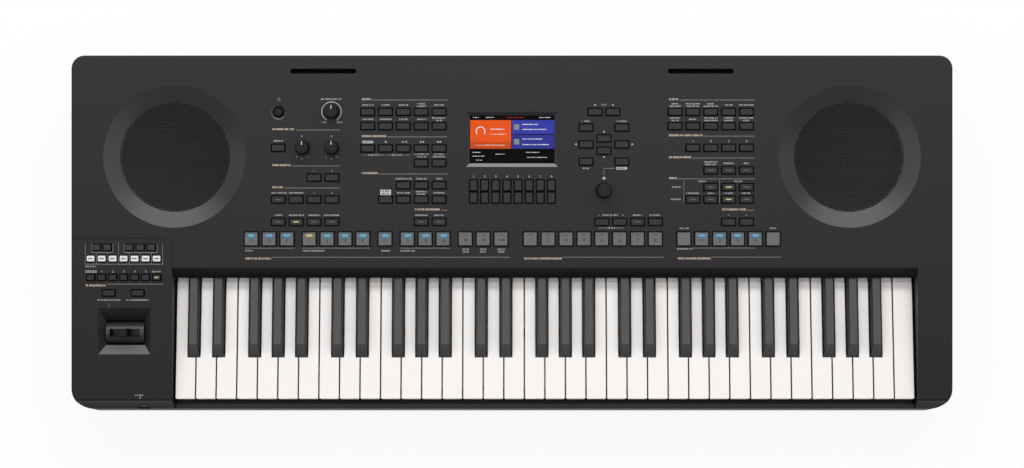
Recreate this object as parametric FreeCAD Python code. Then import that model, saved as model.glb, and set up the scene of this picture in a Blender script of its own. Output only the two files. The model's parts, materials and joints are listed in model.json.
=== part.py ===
import FreeCAD
import Part
import math
import os

# Arranger keyboard: 61 keys, a sloped control panel with button banks, knobs, a display, two speakers
# and a joystick. Lengths are in millimetres and angles in degrees.
# +X runs to the player's right, +Y to the back and +Z up. The origin is under the middle of the case,
# on the surface that the feet stand on.

# Keyboard sizes
key_pitch = 23.55
white_count = 36
octave_count = 5
key_gap = 1.4
key_side_gap = 1.7
key_front_gap = 5.0
white_top = 78.0
key_height = 16.0
key_wall = 1.9
key_pivot_length = 206.1
key_travel_angle = 2.9
shoulder_length = 47.4
white_edge_radius = 0.6
white_corner_radius = 1.6
black_rise = 11.5
black_base_width = 13.6
black_top_width = 9.8
black_notch_width = 15.0
black_slope_length = 12.7
black_sink = 2.0
black_edge_radius = 1.1
black_core_width = 11.0
tail_step = 2.0
tail_height = 12.0
tail_side_gap = 0.4
boss_width = 8.0
boss_length = 8.0
boss_reach = 5.0
boss_height = 13.0
rod_radius = 2.0
rod_clearance = 0.05
rod_overhang = 2.5

# Key bed sizes
chassis_thickness = 2.0
chassis_drop = 28.0
chassis_front_inset = 2.0
chassis_rear_reach = 12.0
ear_thickness = 2.0
ear_depth = 12.0
ear_top = 5.0
guide_width = 1.6
guide_depth = 6.0
guide_entry = 2.5
guide_inset = 20.0
felt_width = 10.0
felt_inset = 5.0
felt_clearance = 0.4
black_felt_inset = 24.0
contact_board_depth = 34.0
contact_board_thickness = 1.6
dome_reach = 45.0
dome_base_radius = 4.5
dome_top_radius = 3.0

# Case sizes
left_end_width = 115.6
right_end_width = 40.2
case_depth = 400.0
panel_angle = 7.0
panel_depth = 242.8
panel_front_height = 104.0
nose_height = 66.0
nose_setback = 8.5
slip_top = 64.0
slip_thickness = 5.7
parting_height = 50.0
foot_height = 6.0
case_wall = 3.0
rear_corner_radius = 15.0
front_corner_radius = 21.7
top_edge_radius = 3.0
bottom_bevel = 12.0
lip_reach = 12.0
lip_drop = 10.0
seam_gap = 0.4
seam_setback = 33.1
seam_corner_radius = 6.0
overrun = 1.0
level_tolerance = 0.0001

# Music rest slots
rest_slot_length = 75.0
rest_slot_width = 5.7
rest_slot_depth = 24.0
rest_slot_wall = 2.5
rest_slot_x_share = 0.214
rest_slot_row_share = 0.924

# Speaker sizes
dish_radius = 81.5
dish_inner_radius = 63.3
dish_depth = 7.5
dish_lip = 1.0
dish_boss_depth = 12.0
dish_boss_wall = 2.5
grille_margin = 2.5
grille_thickness = 1.2
grille_clearance = 0.3
grille_hole_width = 4.6
grille_hole_pitch = 6.4
grille_rim = 4.0
basket_flange = 2.0
basket_flange_overlap = 6.0
basket_wall = 2.0
basket_depth = 34.0
basket_bottom_radius = 34.0
basket_window_width = 22.0
magnet_radius = 38.0
magnet_height = 14.0
cone_wall = 1.5
cone_clearance = 0.4
cone_bottom_radius = 16.0
cone_depth = 18.0
speaker_x_share = 0.383
speaker_row_share = 0.522

# Display sizes
screen_width = 97.0
screen_height = 54.7
bezel_width = 4.2
bezel_depth = 3.5
bezel_land = 0.7
bezel_boss = 6.0
bezel_boss_margin = 5.0
window_margin = 2.0
window_thickness = 1.2
window_clearance = 0.25
display_thickness = 4.6
display_row_share = 0.603

# Button sizes
button_width = 15.0
button_depth = 7.4
button_rise = 2.2
button_gap = 0.6
button_travel = 1.2
button_corner_radius = 0.9
button_edge_radius = 0.6
flange_margin = 0.9
flange_thickness = 1.2
flange_clearance = 0.25
stem_width = 3.4
stem_drop = 9.0
switch_width = 6.0
switch_clearance = 0.3
button_pitch = 20.38
display_button_width = 8.2
display_button_depth = 11.8
display_button_rise = 1.8
display_button_pitch = 12.7
display_flange_margin = 0.3
pad_width = 15.2
pad_rise = 2.6
pad_pitch = 20.38
pad_group_gap = 5.0
scale_button_width = 8.6
scale_button_depth = 6.4
scale_button_pitch = 12.54
hold_button_width = 14.0
hold_button_depth = 6.4
power_radius = 5.2
power_rise = 1.2
power_dish_radius = 9.2
power_dish_depth = 1.2

# Knob sizes
knob_radius = 7.9
knob_top_radius = 7.0
knob_height = 13.0
dial_radius = 8.9
dial_top_radius = 7.8
dial_height = 14.0
knob_edge_radius = 1.0
knob_skirt = 1.6
knob_skirt_reach = 0.8
knob_clearance = 0.8
knob_spacing = 33.5
pointer_width = 1.2
pointer_depth = 0.5
stem_radius = 3.0
stem_running_clearance = 0.06
stem_hole_clearance = 0.5
pot_width = 16.0
pot_height = 8.5
pot_floor = 1.5

# Joystick sizes
recess_width = 59.4
recess_length = 53.5
recess_floor_width = 45.0
recess_floor_length = 28.5
recess_floor_shift = 2.3
recess_depth = 9.0
recess_wall = 2.5
barrel_radius = 12.9
barrel_length = 43.4
barrel_axis_depth = 16.5
barrel_slot_length = 34.6
barrel_slot_width = 9.1
barrel_slot_floor = 7.0
barrel_pin_radius = 3.0
barrel_pin_length = 6.0
pin_clearance = 0.06
stick_width = 7.6
stick_length = 7.0
stick_rise = 20.0
nub_width = 9.4
nub_length = 9.0
nub_height = 9.0
nub_radius = 2.4
stick_pin_radius = 2.0
stick_pin_length = 20.0
stick_hub_radius = 4.2
bracket_wall = 4.0
bracket_side_gap = 1.0
bracket_drop = 15.5

# Boards, bosses and sockets
board_depth_below = 14.0
board_thickness = 1.6
post_radius = 3.0
main_board_length = 400.0
main_board_depth = 110.0
main_board_rise = 12.5
main_board_rear_gap = 16.0
standoff_radius = 4.0
chassis_boss_radius = 7.0
screw_radius = 1.75
screw_head_radius = 3.5
screw_head_height = 2.4
screw_bite = 12.0
screw_clearance = 0.15
lower_boss_radius = 5.5
upper_boss_radius = 5.0
boss_split_height = 38.0
foot_radius = 13.0
foot_inset_x = 60.0
foot_inset_y = 45.0
jack_bore_radius = 3.25
jack_bore_length = 22.0
jack_nozzle_radius = 5.5
jack_body_width = 15.0
jack_body_length = 26.0
jack_hole_clearance = 0.4
port_width = 13.0
port_height = 6.4
port_length = 16.0
port_wall = 1.0
inlet_bore_radius = 3.0
inlet_pin_radius = 1.0
inlet_depth = 10.0
phones_height = 67.5
phones_recess_radius = 7.2
phones_recess_depth = 4.5
phones_x_share = 0.695
phones_flange = 2.0

# Places on the panel, as shares of the case width from its middle and of the panel depth from its front edge
left_bank_share = -0.2649
style_bank_share = -0.1636
display_bank_share = -0.0436
navigation_share = 0.1042
registration_bank_share = 0.1018
voice_bank_share = 0.1848
style_pad_share = -0.2954
registration_pad_share = 0.0207
multi_pad_share = 0.1947
top_row_share = 0.732
second_row_share = 0.665
live_row_share = 0.563
song_row_share = 0.560
song_low_row_share = 0.492
effect_row_share = 0.457
transpose_row_share = 0.423
function_row_share = 0.387
select_row_share = 0.3785
dial_row_share = 0.362
display_low_row_share = 0.3285
tempo_row_share = 0.320
lower_row_share = 0.2145
pad_row_share = 0.135
answer_row_share = 0.658
up_row_share = 0.6075
side_row_share = 0.579
down_row_share = 0.549
exit_row_share = 0.498

# Places on the left end, as shares of its width from the left side and of its length from the seam
scale_first_share = 0.196
scale_black_row_share = 0.0543
scale_white_row_share = 0.1235
memory_row_share = 0.2395
hold_row_share = 0.336
hold_left_share = 0.374
hold_right_share = 0.660
joystick_x_share = 0.525
joystick_row_share = 0.571

# Places inside, as shares of the case width and depth
chassis_boss_x_shares = (-0.36, -0.16, 0.06, 0.26, 0.44)
screw_places_shares = (
    (-0.484, 0.46), (-0.30, 0.46), (-0.10, 0.46), (0.37, 0.46), (0.484, 0.46),
    (-0.484, 0.06), (0.484, 0.06), (0.481, -0.36),
)
end_screw_places_shares = ((-0.481, -0.25), (-0.40, -0.40))
post_places_shares = (
    (-0.30, 0.20), (-0.30, 0.60), (-0.0625, 0.20), (-0.0625, 0.60),
    (0.176, 0.36), (0.0905, 0.36), (0.29, 0.20), (0.29, 0.60), (-0.180, 0.43), (0.0, 0.265),
)
end_post_places_shares = ((0.09, 0.06), (0.92, 0.06), (0.09, 0.335), (0.92, 0.335))
left_board_shares = (-0.31, -0.065)
right_board_shares = (-0.06, 0.30)
board_rows_shares = (0.075, 0.78)
end_board_shares = (0.05, 0.95, 0.01, 0.38)
main_board_x_share = 0.14
pedal_jack_shares = (0.06, 0.10)
output_jack_shares = (-0.02, 0.02)
port_shares = (0.17, 0.21)
inlet_share = 0.28

# Sizes worked out from the ones above
octave_width = 7 * key_pitch
key_span = white_count * key_pitch
case_width = left_end_width + key_span + right_end_width + 2 * key_side_gap
half_width = case_width / 2
half_depth = case_depth / 2
well_left = left_end_width - half_width
well_right = half_width - right_end_width
keys_left = well_left + key_side_gap
keys_right = keys_left + key_span
tilt = math.radians(panel_angle)
panel_front_y = half_depth - panel_depth * math.cos(tilt)
lip_y = panel_front_y - lip_reach * math.cos(tilt) + lip_drop * math.sin(tilt)
crease_y = nose_setback - half_depth
key_front_y = slip_thickness + key_front_gap - half_depth
key_bottom = white_top - key_height
shoulder_y = key_front_y + shoulder_length
black_front_y = shoulder_y + key_gap
black_rear_y = lip_y + 4 * black_edge_radius + case_wall
step_y = lip_y - case_wall
pivot_y = key_front_y + key_pivot_length
tail_top = white_top - tail_step
tail_bottom = tail_top - tail_height
pivot_z = tail_top - boss_height / 2
key_travel = math.radians(key_travel_angle)
chassis_top = white_top - chassis_drop
chassis_bottom = chassis_top - chassis_thickness
floor_top = foot_height + case_wall
seam_y = panel_front_y + seam_setback * math.cos(tilt)
end_length = (seam_y - crease_y) / math.cos(tilt)
inner_wall_y = slip_thickness - half_depth
screw_length = boss_split_height - foot_height + screw_bite

right = FreeCAD.Vector(1, 0, 0)
back = FreeCAD.Vector(0, 1, 0)
up = FreeCAD.Vector(0, 0, 1)
panel_frame = FreeCAD.Placement(
    FreeCAD.Vector(0, panel_front_y, panel_front_height), FreeCAD.Rotation(right, panel_angle)
)


def panel_height(y):
    """Height of the panel's top plane above the floor at depth y."""
    return panel_front_height + (y - panel_front_y) * math.tan(tilt)


def on_panel(shape):
    """Carries a shape from the panel's own frame (x, up the slope, out of the panel) to the part's frame."""
    placed = shape.copy()
    placed.Placement = panel_frame.multiply(placed.Placement)
    return placed


def block(x0, x1, y0, y1, z0, z1):
    """Box between two corners."""
    return Part.makeBox(x1 - x0, y1 - y0, z1 - z0, FreeCAD.Vector(x0, y0, z0))


def centred_block(x, y, width, depth, z0, z1):
    """Box with its middle at x, y."""
    return block(x - width / 2, x + width / 2, y - depth / 2, y + depth / 2, z0, z1)


def disc(x, y, radius, z0, z1):
    """Upright cylinder at x, y."""
    return Part.makeCylinder(radius, z1 - z0, FreeCAD.Vector(x, y, z0))


def rod_along(direction, start, radius, length):
    """Cylinder from a point along a direction."""
    return Part.makeCylinder(radius, length, start, direction)


def fused(shapes):
    """One solid from touching shapes."""
    shapes = list(shapes)
    return shapes[0].multiFuse(shapes[1:]).removeSplitter()


def side_prism(points, x0, x1):
    """Solid from an outline of (y, z) points, run along X."""
    corners = [FreeCAD.Vector(x0, y, z) for y, z in points]
    outline = Part.makePolygon(corners + corners[:1])
    return Part.Face(outline).extrude(right * (x1 - x0))


def rounded_plan(x0, x1, y0, y1, radii, z0, z1):
    """Upright prism with a rounded rectangle as plan; radii run from the front left corner anticlockwise."""
    corners = ((x0, y0, 180), (x1, y0, 270), (x1, y1, 0), (x0, y1, 90))
    inward = ((1, 1), (-1, 1), (-1, -1), (1, -1))
    arcs = []
    for (x, y, start), (sx, sy), radius in zip(corners, inward, radii):
        angles = [math.radians(start + turn) for turn in (0, 45, 90)]
        middle = (x + sx * radius, y + sy * radius)
        spots = [(middle[0] + radius * math.cos(a), middle[1] + radius * math.sin(a)) for a in angles]
        arcs.append(Part.Arc(*[FreeCAD.Vector(u, v, z0) for u, v in spots]).toShape())
    edges = []
    for here, after in zip(arcs, arcs[1:] + arcs[:1]):
        start = here.valueAt(here.LastParameter)
        edges += [here, Part.LineSegment(start, after.valueAt(after.FirstParameter)).toShape()]
    return Part.Face(Part.Wire(edges)).extrude(up * (z1 - z0))


def frustum(lower, upper, z0, z1):
    """Solid between two rectangles given as (x, y, width, depth), at heights z0 and z1."""
    rings = []
    for (x, y, width, depth), z in ((lower, z0), (upper, z1)):
        w, d = width / 2, depth / 2
        corners = [(x - w, y - d), (x + w, y - d), (x + w, y + d), (x - w, y + d), (x - w, y - d)]
        rings.append(Part.makePolygon([FreeCAD.Vector(a, b, z) for a, b in corners]))
    return Part.makeLoft(rings, True, True)


def soft_block(x, y, width, depth, z0, z1, corner, edge):
    """Box with rounded upright corners and a rounded top edge."""
    body = centred_block(x, y, width, depth, z0, z1)
    upright = [e for e in body.Edges if abs(e.tangentAt(e.FirstParameter).z) == 1]
    body = body.makeFillet(corner, upright)
    return body.makeFillet(edge, top_edges(body, z1))


def top_edges(body, height):
    """Edges that lie at one height."""
    flat = [e for e in body.Edges if e.BoundBox.ZLength < level_tolerance]
    return [e for e in flat if abs(e.BoundBox.ZMin - height) < level_tolerance]


def export(name, shapes):
    """Writes one node as a STEP file of separate solids."""
    shapes = shapes if isinstance(shapes, list) else [shapes]
    solids = [solid for shape in shapes for solid in shape.Solids]
    shape = solids[0] if len(solids) == 1 else Part.makeCompound(solids)
    shape.exportStep(f"parts/{name}.step")


# Places

def panel_spot(x_share, row_share, shift=0):
    """Place on the panel's own frame from shares of the case width and the panel depth."""
    return x_share * case_width + shift, row_share * panel_depth


def bank_row(first_share, row_share, columns, pitch=button_pitch):
    """Places of one row of a bank, at the given columns."""
    return [panel_spot(first_share, row_share, column * pitch) for column in columns]


def end_spot(x_share, row_share, shift=0):
    """Place on the left end, in the panel's own frame."""
    return x_share * left_end_width - half_width + shift, seam_setback - row_share * end_length


def end_row(row_share, columns):
    """Places of one row of scale buttons on the left end."""
    return [end_spot(scale_first_share, row_share, column * scale_button_pitch) for column in columns]


def pad_row(first_share, groups):
    """Places of a row of pads in groups with a wider gap between them."""
    places = []
    for group, count in enumerate(groups):
        for _ in range(count):
            shift = len(places) * pad_pitch + group * pad_group_gap
            places.append(panel_spot(first_share, pad_row_share, shift))
    return places


five = range(5)
panel_banks = {
    "transpose_and_assign_buttons": bank_row(left_bank_share, transpose_row_share, [2, 3])
    + bank_row(left_bank_share, live_row_share, [0]),
    "tempo_buttons": bank_row(left_bank_share, tempo_row_share, range(4)),
    "accompaniment_buttons": bank_row(left_bank_share, lower_row_share, range(4)),
    "style_buttons": bank_row(style_bank_share, top_row_share, five)
    + bank_row(style_bank_share, second_row_share, five),
    "song_buttons": bank_row(style_bank_share, song_row_share, five)
    + bank_row(style_bank_share, song_low_row_share, [3, 4]),
    "function_buttons": bank_row(style_bank_share, function_row_share, [2, 3, 4])
    + bank_row(style_bank_share, tempo_row_share, [1, 2, 3, 4])
    + bank_row(style_bank_share, lower_row_share, [3, 4]),
    "navigation_buttons": bank_row(navigation_share, top_row_share, [-1 / 2, 1 / 2])
    + bank_row(navigation_share, answer_row_share, [-1, 1])
    + bank_row(navigation_share, up_row_share, [0])
    + bank_row(navigation_share, side_row_share, [-1, 1])
    + bank_row(navigation_share, down_row_share, [0])
    + bank_row(navigation_share, exit_row_share, [-1, 1]),
    "registration_bank_buttons": bank_row(registration_bank_share, lower_row_share, range(4)),
    "voice_buttons": bank_row(voice_bank_share, top_row_share, five)
    + bank_row(voice_bank_share, second_row_share, five),
    "one_touch_buttons": bank_row(voice_bank_share, live_row_share, [1, 2, 3, 4]),
    "effect_buttons": bank_row(voice_bank_share, effect_row_share, [2, 3, 4]),
    "part_buttons": bank_row(voice_bank_share, select_row_share, [2, 3, 4])
    + bank_row(voice_bank_share, tempo_row_share, [1, 2, 3, 4])
    + bank_row(voice_bank_share, lower_row_share, [3, 4]),
}
pad_banks = {
    "style_pads": pad_row(style_pad_share, (3, 4, 1, 3, 3)),
    "registration_pads": pad_row(registration_pad_share, (8,)),
    "multi_pads": pad_row(multi_pad_share, (6,)),
}
display_bank = bank_row(display_bank_share, function_row_share, range(8), display_button_pitch)
display_bank += bank_row(display_bank_share, display_low_row_share, range(8), display_button_pitch)
scale_banks = {
    "scale_note_buttons": end_row(scale_white_row_share, range(7))
    + end_row(scale_black_row_share, (0.5, 1.5, 3.5, 4.5, 5.5)),
    "scale_memory_buttons": end_row(memory_row_share, range(7)),
}
hold_bank = [end_spot(hold_left_share, hold_row_share), end_spot(hold_right_share, hold_row_share)]
power_spot = panel_spot(left_bank_share, top_row_share)
volume_spot = panel_spot(left_bank_share, top_row_share, 3 * button_pitch)
live_right_spot = panel_spot(left_bank_share, live_row_share, 3 * button_pitch)
live_left_spot = (live_right_spot[0] - knob_spacing, live_right_spot[1])
dial_spot = panel_spot(navigation_share, dial_row_share)
speaker_spots = [panel_spot(side * speaker_x_share, speaker_row_share) for side in (-1, 1)]
display_spot = panel_spot(0, display_row_share)
joystick_spot = end_spot(joystick_x_share, joystick_row_share)
knob_spots = [volume_spot, live_left_spot, live_right_spot, dial_spot]

# Each kind of button: width, depth, rise above the panel, margin of its flange
plain_cap = (button_width, button_depth, button_rise, flange_margin)
display_cap = (display_button_width, display_button_depth, display_button_rise, display_flange_margin)
pad_cap = (pad_width, pad_width, pad_rise, flange_margin)
scale_cap = (scale_button_width, scale_button_depth, button_rise, flange_margin)
hold_cap = (hold_button_width, hold_button_depth, button_rise, flange_margin)

panel_buttons = {name: (plain_cap, spots) for name, spots in panel_banks.items()}
panel_buttons["display_buttons"] = (display_cap, display_bank)
panel_buttons.update({name: (pad_cap, spots) for name, spots in pad_banks.items()})
end_buttons = {name: (scale_cap, spots) for name, spots in scale_banks.items()}
end_buttons["hold_buttons"] = (hold_cap, hold_bank)


# Case

def case_outline(inset):
    """Outline of the case from the side, as (y, z) points, drawn in from the outer skin by inset."""
    front, rear, bottom = inset - half_depth, half_depth - inset, foot_height + inset
    lowered = inset / math.cos(tilt)
    crease = crease_y + inset
    return [
        (front + bottom_bevel, bottom),
        (rear - bottom_bevel, bottom),
        (rear, bottom + bottom_bevel),
        (rear, panel_height(rear) - lowered),
        (crease, panel_height(crease) - lowered),
        (front, nose_height - lowered / 2),
        (front, bottom + bottom_bevel),
    ]


def case_body(inset):
    """Solid of the case's outer form, or of the space inside it."""
    reach = half_width - inset
    tall = side_prism(case_outline(inset), -half_width, half_width)
    radii = [front_corner_radius - inset] * 2 + [rear_corner_radius - inset] * 2
    plan = rounded_plan(
        -reach, reach, inset - half_depth, half_depth - inset, radii, 0, 2 * panel_front_height
    )
    return tall.common(plan)


def rounded_top(body):
    """Rounds the edges of the panel's top plane."""
    normal = panel_frame.Rotation.multVec(up)
    tops = [f for f in body.Faces if f.normalAt(0, 0).dot(normal) > math.cos(tilt / 100)]
    top = max(tops, key=lambda face: face.Area)
    return body.makeFillet(top_edge_radius, top.Edges)


outer_form = rounded_top(case_body(0))
inner_form = case_body(case_wall)
shell = outer_form.cut(inner_form)
beyond = 2 * case_width
upper_half = block(-beyond, beyond, -beyond, beyond, parting_height, beyond)
lower_half = block(-beyond, beyond, -beyond, beyond, -beyond, parting_height)
upper_shell = shell.common(upper_half)


def end_plan(grow):
    """Upright prism around the left end, larger by grow where it meets the upper case."""
    radii = [overrun, overrun, seam_corner_radius + grow, overrun]
    return rounded_plan(
        -half_width - overrun, well_left + grow, -half_depth - overrun, seam_y + grow, radii, 0, beyond
    )


def well_wall(x0, x1, rear):
    """Wall of the key well that closes the side of an end block."""
    wall = block(x0, x1, inner_wall_y, rear, parting_height, beyond)
    return wall.common(outer_form)


def fallboard():
    """Sloped front of the panel that comes down over the rear of the keys."""
    points = [
        (0, 0),
        (-lip_reach, -lip_drop),
        (case_wall - lip_reach, -lip_drop),
        (case_wall, -case_wall),
        (case_wall, 0),
    ]
    return on_panel(side_prism(points, well_left + seam_gap, well_right))


def button_holes(buttons):
    """Openings for the caps of a set of button banks."""
    holes = []
    for (width, depth, _, _), spots in buttons.values():
        size = (width + 2 * button_gap, depth + 2 * button_gap)
        holes += [centred_block(x, v, *size, -case_wall - overrun, overrun) for x, v in spots]
    return [on_panel(hole) for hole in holes]


def screw_boss(x, y):
    """Boss under the panel that a case screw bites into."""
    boss = disc(x, y, upper_boss_radius, boss_split_height, panel_height(y) - case_wall / 2)
    return boss.common(outer_form)


def screw_pilot(x, y):
    """Hole that the screw's shank fills."""
    top = foot_height + screw_length + screw_clearance
    return disc(x, y, screw_radius + screw_clearance, foot_height, top)


def board_post(x, v):
    """Post that carries a circuit board under the panel."""
    return on_panel(disc(x, v, post_radius, -board_depth_below, -case_wall / 2))


def shared_places(places):
    """Places across the case from shares of its width and depth."""
    return [(x * case_width, y * case_depth) for x, y in places]


screw_places = shared_places(screw_places_shares)
end_screw_places = shared_places(end_screw_places_shares)
board_post_spots = [panel_spot(*shares) for shares in post_places_shares]
end_post_spots = [end_spot(*shares) for shares in end_post_places_shares]


def dish_boss(x, v):
    """Thick ring of the panel that holds a speaker dish."""
    return on_panel(disc(x, v, dish_radius + dish_boss_wall, -dish_boss_depth, -case_wall / 2))


def dish_cuts(x, v):
    """Conical dish, its mouth to the speaker, and the seat of the grille behind it."""
    flare = (dish_radius - dish_inner_radius) / dish_depth
    cone = Part.makeCone(
        dish_inner_radius,
        dish_radius + overrun * flare,
        dish_depth + overrun,
        FreeCAD.Vector(x, v, -dish_depth),
    )
    mouth = disc(x, v, dish_inner_radius, -dish_boss_depth - overrun, -dish_depth + case_wall / 2)
    seat_radius = dish_inner_radius + grille_margin + grille_clearance
    seat = disc(x, v, seat_radius, -dish_boss_depth - overrun, -dish_depth - dish_lip)
    return [on_panel(shape) for shape in (cone, mouth, seat)]


def rest_slot_spot(side):
    """Middle of a music rest slot in the part's frame, as x, y and panel height."""
    x, v = panel_spot(side * rest_slot_x_share, rest_slot_row_share)
    y = panel_front_y + v * math.cos(tilt)
    return x, y, panel_height(y)


def rest_slot_box(side):
    """Pocket walls under the panel for a music rest slot."""
    x, y, top = rest_slot_spot(side)
    grown = 2 * rest_slot_wall
    bottom = top - rest_slot_depth - rest_slot_wall
    return centred_block(
        x, y, rest_slot_length + grown, rest_slot_width + grown, bottom, top - case_wall / 2
    ).common(outer_form)


def rest_slot_cut(side):
    """The slot itself, with round ends."""
    x, y, top = rest_slot_spot(side)
    radii = [rest_slot_width / 2 - seam_gap] * 4
    half_length, half_slot = rest_slot_length / 2, rest_slot_width / 2
    return rounded_plan(
        x - half_length, x + half_length, y - half_slot, y + half_slot, radii,
        top - rest_slot_depth, top + rest_slot_width,
    )


def bezel_boss_block():
    """Thick frame of the panel around the display."""
    x, v = display_spot
    wide = screen_width + 2 * (bezel_width + bezel_boss_margin)
    tall = screen_height + 2 * (bezel_width + bezel_boss_margin)
    return on_panel(centred_block(x, v, wide, tall, -bezel_boss, -case_wall / 2))


def bezel_cuts():
    """Sloped display recess, its opening, and the seat of the window behind it."""
    x, v = display_spot
    slope = overrun * bezel_width / bezel_depth
    screen = (x, v, screen_width, screen_height)
    grown = 2 * (bezel_width + slope)
    mouth = (x, v, screen_width + grown, screen_height + grown)
    recess = frustum(screen, mouth, -bezel_depth, overrun)
    opening = centred_block(*screen, -bezel_boss - overrun, -bezel_depth + overrun / 2)
    margin = 2 * (window_margin + window_clearance)
    seat = centred_block(
        x, v, screen_width + margin, screen_height + margin, -bezel_boss - overrun, -bezel_depth - bezel_land
    )
    return [on_panel(shape) for shape in (recess, opening, seat)]


def knob_holes():
    """Holes for the four knob stems and the round power button with its shallow dish."""
    hole_radius = stem_radius + stem_hole_clearance
    holes = [disc(x, v, hole_radius, -case_wall - overrun, overrun) for x, v in knob_spots]
    x, v = power_spot
    holes.append(disc(x, v, power_radius + button_gap, -case_wall - overrun, overrun))
    flare = (power_dish_radius - power_radius - button_gap) / power_dish_depth
    dish = Part.makeCone(
        power_radius + button_gap,
        power_dish_radius + overrun * flare,
        power_dish_depth + overrun,
        FreeCAD.Vector(x, v, -power_dish_depth),
    )
    return [on_panel(hole) for hole in holes + [dish]]


def make_upper_case():
    """Control panel, rear wall and right end in one moulding."""
    well = block(well_left - overrun, well_right, -half_depth - overrun, panel_front_y, 0, beyond)
    body = upper_shell.cut([well, end_plan(seam_gap)])
    added = [fallboard(), well_wall(well_right, well_right + case_wall, panel_front_y + case_wall)]
    added += [dish_boss(*spot) for spot in speaker_spots]
    added += [rest_slot_box(side) for side in (-1, 1)]
    added += [screw_boss(*place) for place in screw_places]
    added += [board_post(*spot) for spot in board_post_spots]
    added.append(bezel_boss_block())
    body = body.multiFuse(added)
    cuts = button_holes(panel_buttons) + knob_holes() + bezel_cuts()
    for spot in speaker_spots:
        cuts += dish_cuts(*spot)
    cuts += [rest_slot_cut(side) for side in (-1, 1)]
    cuts += [screw_pilot(*place) for place in screw_places]
    return body.cut(cuts).removeSplitter()


def recess_frames(grow):
    """Rectangles at the top and the floor of the joystick recess."""
    x, v = joystick_spot
    top = (x, v, recess_width + 2 * grow, recess_length + 2 * grow)
    floor = (x, v - recess_floor_shift, recess_floor_width + 2 * grow, recess_floor_length + 2 * grow)
    return floor, top


def phones_spot():
    """Middle of the phones jack's mouth at the front face."""
    return FreeCAD.Vector(phones_x_share * left_end_width - half_width, -half_depth, phones_height)


def make_left_end():
    """Left end panel with its walls, scale buttons' openings, joystick recess and phones opening."""
    body = upper_shell.common(end_plan(0))
    floor, top = recess_frames(recess_wall)
    pan_floor = -recess_depth - recess_wall
    pan = frustum(floor, top, pan_floor, -case_wall / 2)
    rear = seam_y - seam_corner_radius
    added = [on_panel(pan), well_wall(well_left - case_wall, well_left, rear)]
    added += [screw_boss(*place) for place in end_screw_places]
    added += [board_post(*spot) for spot in end_post_spots]
    body = body.multiFuse(added)
    floor, top = recess_frames(0)
    x, v, wide, long = floor
    cuts = button_holes(end_buttons)
    cuts.append(on_panel(frustum(floor, top, -recess_depth, 0)))
    cuts.append(on_panel(centred_block(x, v, wide, long, pan_floor - overrun, overrun - recess_depth)))
    mouth = phones_spot()
    cuts.append(rod_along(back, mouth - back * overrun, phones_recess_radius, phones_recess_depth + overrun))
    hole_radius = jack_nozzle_radius + jack_hole_clearance
    cuts.append(rod_along(back, mouth, hole_radius, nose_setback + case_wall + overrun))
    cuts += [screw_pilot(*place) for place in end_screw_places]
    return body.cut(cuts).removeSplitter()


def socket_height():
    """Height of the rear sockets' axes above the floor."""
    return floor_top + main_board_rise + board_thickness + jack_body_width / 2


def socket_openings():
    """Openings in the rear wall for the jacks, the ports and the power inlet."""
    z = socket_height()
    cuts = []
    for share in pedal_jack_shares + output_jack_shares + (inlet_share,):
        start = FreeCAD.Vector(share * case_width, half_depth - case_wall - overrun, z)
        cuts.append(rod_along(back, start, jack_nozzle_radius + jack_hole_clearance, case_wall + 2 * overrun))
    grown = 2 * (port_wall + jack_hole_clearance)
    for share in port_shares:
        x = share * case_width
        wide, tall = (port_width + grown) / 2, (port_height + grown) / 2
        rear = half_depth + overrun
        cuts.append(block(x - wide, x + wide, half_depth - case_wall - overrun, rear, z - tall, z + tall))
    return cuts


def make_lower_case():
    """Bottom tray with the key slip, bosses for the key bed and the main board, and screw bosses."""
    body = shell.common(lower_half)
    slip_left, slip_right = well_left + seam_gap, well_right - seam_gap
    slip = block(slip_left, slip_right, -half_depth, inner_wall_y, foot_height, slip_top)
    added = [slip.common(case_body(0))]
    boss_rows = (key_front_y + guide_inset * 2, pivot_y)
    for y in boss_rows:
        for share in chassis_boss_x_shares:
            added.append(disc(share * case_width, y, chassis_boss_radius, foot_height, chassis_bottom))
    board_x, board_y = main_board_middle()
    for sx in (-1, 1):
        for sy in (-1, 1):
            x = board_x + sx * (main_board_length / 2 - 2 * standoff_radius)
            y = board_y + sy * (main_board_depth / 2 - 2 * standoff_radius)
            added.append(disc(x, y, standoff_radius, foot_height, floor_top + main_board_rise))
    for x, y in screw_places + end_screw_places:
        added.append(disc(x, y, lower_boss_radius, foot_height, boss_split_height).common(outer_form))
    body = body.multiFuse(added)
    cuts = socket_openings()
    for x, y in screw_places + end_screw_places:
        cuts.append(screw_pilot(x, y))
        head_room = screw_head_height + screw_clearance
        radius = screw_head_radius + screw_clearance
        cuts.append(disc(x, y, radius, foot_height - overrun, foot_height + head_room))
    return body.cut(cuts).removeSplitter()


def main_board_middle():
    """Middle of the main board, behind the key bed."""
    rear = half_depth - case_wall - main_board_rear_gap
    return main_board_x_share * case_width, rear - main_board_depth / 2


def make_feet():
    """Round rubber feet under the corners and the middle of the case."""
    x, y = half_width - foot_inset_x, half_depth - foot_inset_y
    spots = [(-x, -y), (x, -y), (-x, y), (x, y), (0, -y)]
    feet = []
    for spot in spots:
        foot = disc(*spot, foot_radius, 0, foot_height)
        feet.append(foot.makeChamfer(foot_height / 4, top_edges(foot, 0)))
    return feet


def make_screws():
    """Case screws that run up from the bottom into the upper bosses."""
    screws = []
    for x, y in screw_places + end_screw_places:
        head = disc(x, y, screw_head_radius, foot_height, foot_height + screw_head_height)
        shank = disc(x, y, screw_radius, foot_height, foot_height + screw_length)
        screws.append(fused([head, shank]))
    return screws


# Keyboard

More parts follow.
